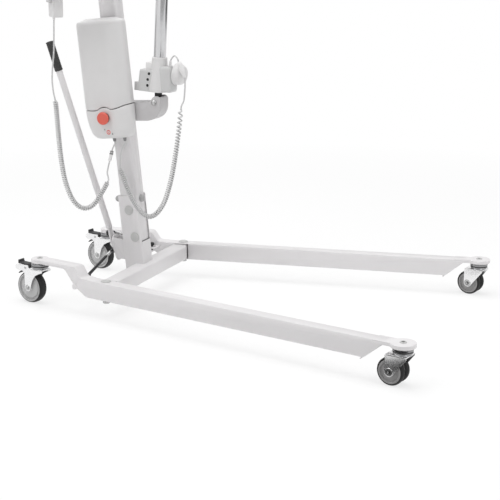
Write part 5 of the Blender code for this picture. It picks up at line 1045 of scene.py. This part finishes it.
def add_actuator():
    """The column with its gear case, switch cover and screws, the motor, the bright tube and its ram."""
    add_bracket()
    add_cap_pair("actuator_base_pin", 0.0266, 0.0085, PIN_CAPS, at(*ACTUATOR_FOOT) @ ALONG_Y, STEEL)
    node, across = "actuator_housing", ACTUATOR @ ALONG_Y
    column = [(0.0, 0.1362), (0.0190, 0.1362), (0.0192, COLLAR_TOP), (0.0223, COLLAR_TOP), (0.0234, 0.1335),
              (0.0240, 0.1220), (0.0256, 0.1060), (0.0320, 0.0400), (0.0300, 0.0310), (0.0, 0.0310)]
    add_turning("actuator_column", column, (0.0018, 4), 88, ACTUATOR, CASING, node)
    rear = [(-0.0590, 0, 0.0250, 0.031, 0.007), (-0.0605, 0, 0.0260, 0.040, 0.008),
            (-0.0565, 0, 0.0250, 0.092, 0.008), (-0.0540, 0, 0.0230, 0.097, 0.006)]
    front = [(0, 0.0510, 0.0230, 0.035, 0.007), (0, 0.0530, 0.0240, 0.042, 0.008),
             (0, 0.0520, 0.0230, 0.106, 0.008), (0, 0.0480, 0.0200, 0.112, 0.006)]
    for label, levels in (("rear", rear), ("front", front)):
        add_piece(f"gear_case_{label}", casing_box(levels), ACTUATOR, GEAR_CASE, node, stands=False)
    add_block("switch_cover", (0.030, 0.036, 0.004, 0.028), (0.0016, 3), ACTUATOR @ at(-0.0235, 0, 0.105),
              COVER, node, stands=False)
    add_block("case_tab", (0.020, 0.030, 0.004, 0.026), (0.002, 3), ACTUATOR @ at(-0.0670, 0, 0.0425), CASING,
              node, stands=False)
    lug = both_ways([(0.0056, 0.010), (0.012, 0.010)])
    add_ring("actuator_lug", lug, (0.001, 3), 48, across, BLACK_STEEL, node, stands=False)
    add_block("actuator_neck", (0.018, 0.018, 0.003, 0.026), (0.001,), ACTUATOR @ at(0, 0, 0.0215),
              BLACK_STEEL, node, stands=False)
    rim = [(0.0048, 0.0022), (0.0060, 0.0022), (0.0063, 0.0010), (0.0048, 0.0010)]
    screw = [(0, 0.0016), (0.0047, 0.0018), (0.0047, 0.0005), (0, 0.0005)]
    for i, (x, wall, z) in enumerate(CASE_SCREWS):
        for label, out in FLANKS:
            place = outward(ACTUATOR, x, wall, z, out)
            add_ring(f"case_screw_rim_{label}_{i}", rim, (0.0003, 2), 28, place, CASING, node, stands=False)
            add_piece(f"case_screw_{label}_{i}", turned(screw, 24), place, BLACK_STEEL, node, stands=False)
    motor = [(0.0, 0.0330), (0.0120, 0.0328), (0.0240, 0.0292), (0.0305, 0.0210), (0.0322, 0.0120),
             (0.0322, 0.0060), (0.0330, 0.0052), (0.0330, 0.0), (0.0, 0.0)]
    add_turning("motor_cover", motor, (0.0030, 4), 88, ACTUATOR @ at(*MOTOR_FOOT) @ ALONG_X, CASING,
                "actuator_motor")
    tube = [(TUBE_BORE, TUBE_END), (TUBE_RADIUS - 0.001, TUBE_END), (TUBE_RADIUS, TUBE_END - 0.001),
            (TUBE_RADIUS, COLUMN_FOOT), (TUBE_BORE, COLUMN_FOOT)]
    add_ring("actuator_outer_tube", tube, (0.0006, 2), 80, ACTUATOR, ANODISED, "actuator_tube")
    end = PIN_LINE.length
    ram = [(0, end), (ROD_RADIUS, end), (ROD_RADIUS, end - ROD_LENGTH), (0, end - ROD_LENGTH)]
    add_turning("actuator_ram", ram, (0.001, 2), 56, ACTUATOR, STEEL, "actuator_rod")
    eye = both_ways([(0, 0.0120), (0.0135, 0.0120)])
    add_turning("ram_eye", eye, (0.001, 3), 56, ACTUATOR @ at(0, 0, end) @ ALONG_Y, STEEL, "actuator_rod",
                stands=False)
    add_plug()


def add_plug():
    """The long tapered plug beside the motor, its cable looped over to a ribbed gland on the gear case."""
    node = "actuator_cord_plug"
    place, length = aim(ACTUATOR_RISE[-1], PLUG_TOP)
    sleeve = [(0, length), (0.0050, length), (0.0080, length * 0.84), (0.0084, length * 0.74),
              (0.0084, length * 0.42), (0.0062, length * 0.26), (0.0040, 0.0006), (0, 0.0006)]
    add_turning("plug_sleeve", sleeve, (0.0016, 4), 40, place, COVER, node)
    top, gland = ACTUATOR.inverted() @ ROOT @ Vector(PLUG_TOP), Vector(PLUG_GLAND)
    loop = [top + Vector(step) for step in ((0, 0, -0.004), (-0.003, 0, 0.006), (-0.010, 0.002, 0.013),
                                            (-0.019, 0.005, 0.015))]
    loop += [gland + Vector((0.002, 0, 0.020)), gland + Vector((0, 0, 0.006))]
    add_piece("plug_loop", swept(smooth_path(loop), circle(0.0023, 14), (0, 1, 0)), ACTUATOR, CORD, node,
              stands=False, slot="cord_jacket")
    flank = ribbed_boot(0.0015, 0.0165, 0.0052, -0.0012 / 0.0165, 0.0007, 5)
    profile = [(0.0, 0.0), (0.0062, 0.0), (0.0062, 0.0012), *flank, (0.0034, 0.0180), (0.0, 0.0180)]
    add_piece("plug_gland", turned(profile, 32), ACTUATOR @ Matrix.Translation(gland), COVER, node,
              stands=False)


# Control box

ARCH_FOOT_UP = 0.0235
SEAM_LIP = 0.0010
PLATE_LOW = 0.350
PLATE_HALF = 0.165


def box_rows(left, right, front, up):
    """D-shaped rings, one for each level: flat front, elliptic flanks and a flat back with the same columns.

    The right flank is x = middle + flat + (half - flat) cos a, y = -edge - (front - edge) sin a. The flat and
    the left flank, its mirror, follow. up gives each column's height.
    """
    left, right, front = (np.asarray(v, float)[:, None] for v in (left, right, front))
    middle = (left + right) / 2
    flat = BOX_FLAT * (right - left) / (2 * BOX_HALF)
    edge = np.minimum(BOX_EDGE, front - 0.004)
    flank = np.linspace(0, math.pi / 2, 16)[None]
    across = np.linspace(1, -1, 42)[None, 1:-1]
    near = -edge - (front - edge) * np.sin(flank)
    x = np.hstack([right, middle + flat + (right - middle - flat) * np.cos(flank), middle + flat * across,
                   (middle - flat - (middle - flat - left) * np.cos(flank))[:, ::-1], left])
    back = np.full_like(left, -BOX_BACK)
    y = np.hstack([back, near, np.broadcast_to(-front, (len(front), across.shape[1])), near[:, ::-1], back])
    z = up(x)
    returning = x[:, -2:0:-1]
    behind = (returning, np.full_like(returning, -BOX_BACK), z[:, -2:0:-1])
    return np.stack([np.hstack([v, w]) for v, w in zip((x, y, z), behind)], -1)


def seam_height(x):
    """Height of the joint line over x: level, arched over the stop button, then rising to the front.

    The arch is z = STOP_UP + sqrt(STOP_ARCH^2 - (x - STOP_ACROSS)^2), a circle's.
    """
    level = STOP_UP + ARCH_FOOT_UP
    foot = math.sqrt(STOP_ARCH ** 2 - ARCH_FOOT_UP ** 2)
    rear, front = STOP_ACROSS - foot, STOP_ACROSS + foot
    marks = [(-0.12 + BOX_CENTRE, level + 0.003), (rear - 0.014, level - 0.001), (rear, level),
             (front, level), (front + 0.022, level + 0.0045), (front + 0.040, level + 0.0100),
             (BOX_CENTRE + 0.12, level + 0.022)]
    line = np.interp(x, *np.transpose(marks))
    arch = STOP_UP + np.sqrt(np.maximum(0, STOP_ARCH ** 2 - (x - STOP_ACROSS) ** 2))
    return np.where(np.abs(x - STOP_ACROSS) < foot, arch, line)


def shut(rows):
    """The rings closed at both ends, each end drawn back to the flat back, column by column."""
    ends = rows[[0, -1]]
    ends[:, :, 1] = -BOX_BACK
    return shell(np.concatenate([ends[:1], rows, ends[1:]]), caps=(False, False))


def add_box():
    """The control unit, the battery above it, each with its lip along the seam, and the plate behind."""
    left, right = BOX_CENTRE - BOX_HALF, BOX_CENTRE + BOX_HALF
    levels = eased([(left + 0.034, right - 0.022, BOX_FRONT - 0.014, UNIT_BOTTOM),
                    (left + 0.023, right - 0.013, BOX_FRONT - 0.0075, UNIT_BOTTOM + 0.005),
                    (left + 0.0145, right - 0.007, BOX_FRONT - 0.0035, UNIT_BOTTOM + 0.015),
                    (left + 0.007, right - 0.003, BOX_FRONT - 0.001, UNIT_BOTTOM + 0.035),
                    (left + 0.0015, right, BOX_FRONT, UNIT_BOTTOM + 0.062),
                    (left, right, BOX_FRONT, UNIT_BOTTOM + 0.080)], 0.03, 4)
    low = box_rows(*levels[:, :3].T, lambda x: levels[:, 3:] + 0 * x)
    inset = np.array([0.0, 0.0003, SEAM_LIP])
    drawn_in = np.array([[SEAM_LIP], [SEAM_LIP * 0.3], [0.0]])
    under = box_rows(left + inset, right - inset, BOX_FRONT - inset,
                     lambda x: seam_height(x) - SEAM_GAP / 2 - drawn_in)
    add_piece("control_unit_case", shut(np.concatenate([low, under])), MAST, CASING, "control_unit", sharp=50)
    over = box_rows(left + inset[::-1], right - inset[::-1], BOX_FRONT - inset[::-1],
                    lambda x: seam_height(x) + SEAM_GAP / 2 + drawn_in[::-1])
    tops = eased([(left, right, BOX_FRONT, BATTERY_SHOULDER - 0.18),
                  (left, right, BOX_FRONT, BATTERY_SHOULDER),
                  (left + 0.003, right - 0.003, BOX_FRONT - 0.003, BATTERY_SHOULDER + 0.0065),
                  (left + 0.034, right - 0.034, BOX_BACK + 0.016, BATTERY_CROWN)], 0.008, 5)
    high = box_rows(*tops[:, :3].T, lambda x: tops[:, 3:] + 0 * x)
    add_piece("battery_case", shut(np.concatenate([over, high])), MAST, CASING, "battery_pack", sharp=50)
    add_block("mounting_plate", (0.044, 2 * PLATE_HALF, 0.003, 0.0028), (0.0005,),
              MAST @ at(0, -(MAST_WIDTH / 2 + 0.0017), PLATE_LOW + PLATE_HALF) @ ALONG_Y, STEEL,
              "box_mounting_plate")
    add_stop_button()
    add_light_ring()
    for label, (x, y) in (("handset", HANDSET_BOOT), ("actuator", ACTUATOR_BOOT)):
        flank = ribbed_boot(0.0, 0.012, 0.0040, 0.15, 0.0004, 4)
        boot = [(0.0, 0.0), *flank, (0.0062, 0.0125), (0.0062, 0.020), (0.0, 0.020)]
        add_piece(f"{label}_boot", turned(boot, 32), MAST @ at(x, -y, BOOT_BOTTOM), BOOT_RUBBER,
                  "control_unit", stands=False)


def add_stop_button():
    """A round red knob whose rim overhangs its skirt, in a low dark collar."""
    place = MAST @ at(0, -BOX_FRONT) @ ALONG_Y @ at(STOP_ACROSS, STOP_UP, 0)
    knob = [(0.0, 0.0158), (0.0105, 0.0160), (0.0150, 0.0172), (0.0186, 0.0158), (0.0200, 0.0118),
            (0.0188, 0.0078), (0.0150, 0.0066), (0.0112, 0.0064), (0.0112, -0.0040), (0.0, -0.0040)]
    add_turning("stop_knob", knob, (0.0016, 4), 72, place, STOP_RED, "emergency_stop_button", sharp=60)
    collar = [(0.0122, -0.001), (0.0165, -0.001), (0.0165, 0.0006), (0.0140, 0.0010), (0.0122, 0.0010)]
    add_ring("stop_collar", collar, (0.0003, 2), 56, place, BLACK_NYLON, "control_unit", stands=False)


def add_light_ring():
    """A red ring light with two small vents beside it, in a shallow round seat."""
    node = "control_unit"
    x, up = LIGHT_RING
    place = MAST @ at(x, -BOX_FRONT + 0.0022, up) @ turn(math.radians(4), "X") @ ALONG_Y
    seat = [(0, 0.0004), (0.0092, 0.0004), (0.0092, -0.001), (0, -0.001)]
    add_turning("light_seat", seat, (0.0004, 2), 48, place, COVER, node, stands=False)
    ring = [(0.0046, 0.0), (0.0046, 0.0011), (0.0070, 0.0011), (0.0070, 0.0)]
    add_ring("light_ring", ring, (0.0004, 2), 48, place, RING_RED, node, stands=False, slot="stop_button")
    core = [(0, 0.0009), (0.0016, 0.0009), (0.0018, 0.0), (0, 0.0)]
    add_piece("light_core", turned(core, 24), place, RING_RED, node, stands=False, slot="stop_button")
    for label, dx, dz in (("rear", -0.0125, 0.0085), ("front", 0.0130, -0.0060)):
        add_block(f"vent_{label}", (0.0022, 0.0042, 0.001, 0.0012), (0.0003,), place @ at(dx, dz, 0.0),
                  BLACK_NYLON, node, stands=False)


# Hand lever and link rods

LOBE_RADIUS = 0.0125
WAIST_RADIUS = 0.017
GRIP_LENGTH = 0.092
THREAD_PITCH = 0.0016
THREAD_DEPTH = 0.00055


def add_lever():
    """The rocker plate with its two pins, the lever's tube, its ribbed grip, and its pivot bolt."""
    node = "hand_lever"
    rocker = [*arc(0, -ROCKER_ARM, LOBE_RADIUS, 190, 350, 20), *arc(0, 0, WAIST_RADIUS, -15, 15, 4),
              *arc(0, ROCKER_ARM, LOBE_RADIUS, 0, 30, 5), (0.0070, 0.062), (-0.0070, 0.062),
              *arc(0, ROCKER_ARM, LOBE_RADIUS, 150, 180, 5), *arc(0, 0, WAIST_RADIUS, 165, 195, 4)]
    plate = slab(eased(rocker, 0.002, 2, closed=True), 0.006, 0.0008)
    add_piece("rocker_plate", plate, LEVER @ REAR_VIEW, POWDER_COAT, node)
    top = LEVER_LENGTH - 0.004
    tube = [(0, 0.046), (0.0085, 0.046), (LEVER_RADIUS, 0.0475), (LEVER_RADIUS, top), (0, top)]
    add_turning("lever_tube", tube, (0.0012, 2), 48, LEVER, POWDER_COAT, node, stands=False)
    pin = [(0, 0.0), (0.004, 0.0), (0.004, -0.0175), (0.0034, -0.0185), (0, -0.0185)]
    for label, up in (("low", -ROCKER_ARM), ("high", ROCKER_ARM)):
        add_turning(f"rocker_pin_{label}", pin, (0.0005, 2), 28, LEVER @ at(0, 0, up) @ ALONG_X, STEEL, node,
                    stands=False)
    sleeve = ribbed_sleeve(0.0103, 0.013, LEVER_LENGTH - GRIP_LENGTH, LEVER_LENGTH, 17, closed_end=True)
    add_piece("lever_sleeve", sleeve, LEVER, GRIP, "lever_grip", sharp=60)
    node, bolt = "lever_pivot_bolt", LEVER_PLANE @ ALONG_X
    head = [(0, 0.0185), (0.0070, 0.0183), (0.0090, 0.0165), (0.0090, 0.0135), (0, 0.0135)]
    add_turning("lever_bolt_head", head, (0.0008, 2), 36, bolt, BLACK_STEEL, node)
    add_piece("lever_bolt_nut", hexagon(0.0150, 0.0048), bolt @ at(0, 0, -0.0058), BLACK_STEEL, node,
              stands=False)


def add_link_rod(name, side):
    """A black rod with a threaded bright end, an eye at the rocker and a foot over the leg's slotted tab."""
    node = f"link_rod_{name}"
    pin = LEVER @ Vector((-ROD_BEHIND, 0, ROCKER_ARM * side))
    here = Matrix.Translation(pin) @ turn(-LEVER_PLANE_LEAN, "Y")
    tab = LEGS[name] @ Vector((-TAB_BACK, -side * TAB_REACH, TAB_TOP + 0.0085))
    far = here.inverted() @ tab
    lead = Vector((0.0, side * 0.020, 0.0))
    bend = far.lerp(lead, 0.15)
    path = eased([lead * 0.4, lead, bend, far], 0.012, 6)
    add_piece(f"rod_{name}", swept(path, circle(LINK_RADIUS * 0.96, 20), (1, 0, 0)), here, BLACK_STEEL, node,
              sharp=60)
    thread_start, thread_end = lead.lerp(bend, 0.06), lead.lerp(bend, 0.26)
    direction = thread_end - thread_start
    place = here @ Matrix.Translation(thread_start) @ facing(direction)
    add_piece(f"rod_thread_{name}", thread(LINK_RADIUS + 0.0002, direction.length), place, STEEL, node,
              stands=False)
    add_piece(f"rod_lock_nut_{name}", hexagon(0.0120, 0.0050), place @ at(0, 0, direction.length), STEEL,
              node, stands=False)
    eye = both_ways([(0.0046, 0.004), (0.0098, 0.004)])
    add_ring(f"rod_eye_{name}", eye, (0.0010, 3), 40, here @ ALONG_X, BLACK_STEEL, node, stands=False)
    foot = [(0, 0.0045), (0.0060, 0.0045), (0.0085, 0.0030), (0.0085, -0.0045), (0.004, -0.0045),
            (0.004, -0.0215), (0.0034, -0.0220), (0, -0.0220)]
    add_turning(f"rod_foot_{name}", foot, (0.0006, 2), 36, Matrix.Translation(tab), BLACK_STEEL, node,
                stands=False)


def thread(radius, length):
    """A screw thread: r = radius - depth |2 frac(z / pitch - a / 2 pi) - 1|, over height and angle."""
    angle = np.linspace(0, FULL_TURN, 24, endpoint=False)[None]
    height = np.linspace(0, length, max(8, int(length / THREAD_PITCH * 6)))[:, None]
    saw = np.abs(2 * ((height / THREAD_PITCH - angle / FULL_TURN) % 1) - 1)
    r = radius - THREAD_DEPTH * saw
    return shell(np.stack([r * np.cos(angle), r * np.sin(angle), height + 0 * angle], -1))


# Handset

# The two keys, as (name, the arrow's way, height)
KEYS = (("up", 1, 0.105), ("down", -1, 0.078))


def add_handset():
    """The tapered case with its panel and two arrow keys, hung by a hook over the handle's tube."""
    node = "handset_body"
    depth, width, height = HANDSET_SIZE
    levels = eased([(0.0, 0.90), (0.004, 0.985), (height * 0.55, 1.0), (height - 0.012, 0.96),
                    (height, 0.80)], 0.006, 4)
    case = shell([oblong(-depth * k / 2, depth * k / 2, width * k / 2, z, 0.0055) for z, k in levels])
    add_piece("handset_shell", case, HANDSET, CASING, node)
    add_block("handset_panel", (0.072, 0.040, 0.008, 0.0006), (0.0002,),
              HANDSET @ at(depth / 2 + 0.0001) @ ALONG_X @ at(-0.0915, 0, 0), COVER, node, stands=False)
    bar = (MAST @ Vector((0, 0, HANDLE_UP))).z - HANDSET_PLACE[2]
    r, back = HANDLE_RADIUS + 0.0015, -depth / 2
    around = back - 0.010 - HANDLE_RADIUS
    hook = [(back + 0.004, bar + r + 0.006), *arc(around, bar, r + 0.005, 75, 195, 24),
            *arc(around, bar, r, 195, 75, 24), (back + 0.004, bar + r + 0.0005)]
    add_piece("handset_hook", slab(eased(hook, 0.0012, 2, closed=True), 0.022, 0.0010), HANDSET @ SIDE_VIEW,
              BLACK_NYLON, node, stands=False, slot="pedal_plastic")
    add_block("handset_rest", (0.014, 0.022, 0.003, 0.014), (0.0015,),
              HANDSET @ at(back - 0.004, 0, bar - HANDLE_RADIUS - 0.011), CASING, node, stands=False)
    offset = HANDSET.inverted() @ ROOT @ Vector(HANDSET_DROP[0])
    flank = ribbed_boot(-0.0080, 0.0, 0.0046, 0.15, 0.0003, 3)
    relief = [(0.0, -0.0080), *flank, (0.0050, 0.0005), (0.0050, 0.0040), (0.0, 0.0040)]
    add_piece("handset_relief", turned(relief, 28), HANDSET @ at(offset.x, offset.y, 0), COVER, node,
              stands=False)
    key = [(0.0, 0.0022), (0.0080, 0.0020), (BUTTON_RADIUS, 0.0006), (BUTTON_RADIUS, -0.0030), (0.0, -0.0030)]
    for label, sign, up in KEYS:
        node = f"handset_{label}_button"
        place = HANDSET @ at(depth / 2, 0, up) @ ALONG_X
        add_turning(f"key_{label}", key, (0.0008, 3), 44, place, BLACK_NYLON, node)
        arrow = eased([(-sign * 0.0038, 0.0), (sign * 0.0022, 0.0038), (sign * 0.0022, -0.0038)], 0.0006, 2,
                      closed=True)
        add_piece(f"key_arrow_{label}", slab(arrow, 0.0006), place @ at(0, 0, 0.0022), COVER, node,
                  stands=False)


# Floor, backdrop and light

FLOOR_REACH = 40.0
FLOOR_DOWN = -0.0005
FLOOR_SHARE = 0.72
WHITE_FROM = 1.2
WHITE_BY = 3.0
CARD_HEIGHT = 1.2
MIDDLE = (0.0, 0.0, 0.5)
SKY_STRENGTH = 0.40
# Soft square lamps, as (name, place, side, power)
LAMPS = (("key", (-1.5, -1.8, 2.7), 2.0, 29.0), ("top", (-0.5, 0.3, 4.2), 3.0, 93.0),
         ("fill", (3.2, -0.6, 2.4), 2.4, 31.0))
QUAD = ((-1, -1), (1, -1), (1, 1), (-1, 1))


def seen_rays(tree):
    """1 where the eye, a mirror or a glass looks, and 0 where the surface only lights others."""
    path = add_node(tree, "ShaderNodeLightPath")
    seen = path.outputs["Is Camera Ray"]
    for kind in ("Is Glossy Ray", "Is Transmission Ray"):
        seen = add_node(tree, "ShaderNodeMath", {0: seen, 1: path.outputs[kind]},
                        operation="MAXIMUM").outputs[0]
    return seen


def floor_material():
    """A plain floor that keeps shadows near the lift, and goes to white further out where it is seen."""
    material, tree, shader = new_material("studio_floor")
    set_plain(shader, Base_Color=linear("FFFFFF"), Roughness=0.9, Specular_IOR_Level=0.1)
    place = add_node(tree, "ShaderNodeTexCoord").outputs["Object"]
    away = add_node(tree, "ShaderNodeVectorMath", {0: place}, operation="LENGTH").outputs["Value"]
    share = add_node(tree, "ShaderNodeMapRange", {"Value": away, "From Min": WHITE_FROM, "From Max": WHITE_BY,
                                                  "To Min": FLOOR_SHARE, "To Max": 1.0}).outputs[0]
    amount = add_node(tree, "ShaderNodeMath", {0: seen_rays(tree), 1: share}, operation="MULTIPLY").outputs[0]
    white = add_node(tree, "ShaderNodeEmission", {"Color": WHITE, "Strength": 1.0})
    mix = add_node(tree, "ShaderNodeMixShader", {0: amount, 1: shader.outputs[0], 2: white.outputs[0]})
    tree.links.new(mix.outputs[0], tree.nodes["Material Output"].inputs["Surface"])
    return material


def add_stage(name, corners, material, hidden_from=()):
    """One flat stage piece from its corners in turn, which the named kinds of ray don't see."""
    mesh = bpy.data.meshes.new(name)
    mesh.from_pydata(corners, [], [(0, 1, 2, 3)])
    mesh.materials.append(material)
    piece = bpy.data.objects.new(name, mesh)
    for kind in hidden_from:
        setattr(piece, f"visible_{kind}", False)
    bpy.context.scene.collection.objects.link(piece)


def add_floor():
    corners = [(x * FLOOR_REACH, y * FLOOR_REACH, FLOOR_DOWN) for x, y in QUAD]
    add_stage("studio_floor", corners, floor_material())


def standing_card(angle, away):
    """A card that stands on the floor at an angle from +X, a distance off the actuator's foot."""
    return at(ACTUATOR_FOOT.x) @ turn(math.radians(angle), "Z") @ at(away, 0.0, CARD_HEIGHT / 2)


def add_cards():
    """Two standing cards, and one on the floor before the near front caster, that only polished metal sees.

    The metal shows them as dark bands, where it would be plain white without them.
    """
    on_floor = at(0.36, -0.87, 0.0015) @ turn(math.radians(-10.0), "Z") @ turn(math.pi / 2, "Y")
    for name, place, width, height, tone in (
            ("dark_card", standing_card(38.0, 3.2), 3.0, CARD_HEIGHT, "2A2A2A"),
            ("grey_card", standing_card(-46.0, 3.0), 5.4, CARD_HEIGHT, "A6A6A6"),
            ("floor_card", on_floor, 0.84, 1.15, "303030")):
        material, _, shader = new_material(f"studio_{name}")
        set_plain(shader, Base_Color=linear("101010"), Roughness=1.0, Emission_Color=linear(tone),
                  Emission_Strength=1.0)
        corners = [tuple(place @ Vector((0.0, y * width / 2, z * height / 2))) for y, z in QUAD]
        add_stage(name, corners, material, ("camera", "diffuse", "shadow", "transmission"))


def add_light():
    """A sky that is white where it is seen and dimmer where it lights, and three soft lamps."""
    world = bpy.context.scene.world or bpy.data.worlds.new("studio")
    bpy.context.scene.world = world
    world.use_nodes = True
    tree = world.node_tree
    tree.nodes.clear()
    strength = add_node(tree, "ShaderNodeMapRange", {"Value": seen_rays(tree), "To Min": SKY_STRENGTH,
                                                     "To Max": 1.0}).outputs[0]
    sky = add_node(tree, "ShaderNodeBackground", {"Color": WHITE, "Strength": strength})
    out = add_node(tree, "ShaderNodeOutputWorld", {"Surface": sky.outputs[0]})
    out.is_active_output = True
    for name, spot, size, power in LAMPS:
        data = bpy.data.lights.new(name, "AREA")
        data.size = size
        data.energy = power
        lamp = bpy.data.objects.new(name, data)
        lamp.location = spot
        lamp.rotation_euler = (Vector(MIDDLE) - Vector(spot)).to_track_quat("-Z", "Y").to_euler()
        bpy.context.scene.collection.objects.link(lamp)


place_camera()
add_cords()
add_base()
for label, sign in SIDES:
    add_front_caster(label, sign)
    add_rear_caster(label, sign)
    add_link_rod(label, sign)
add_mast()
add_handle()
add_boom()
add_actuator()
add_box()
add_lever()
add_handset()
add_floor()
add_cards()
add_light()

bpy.context.scene.view_settings.view_transform = "Standard"
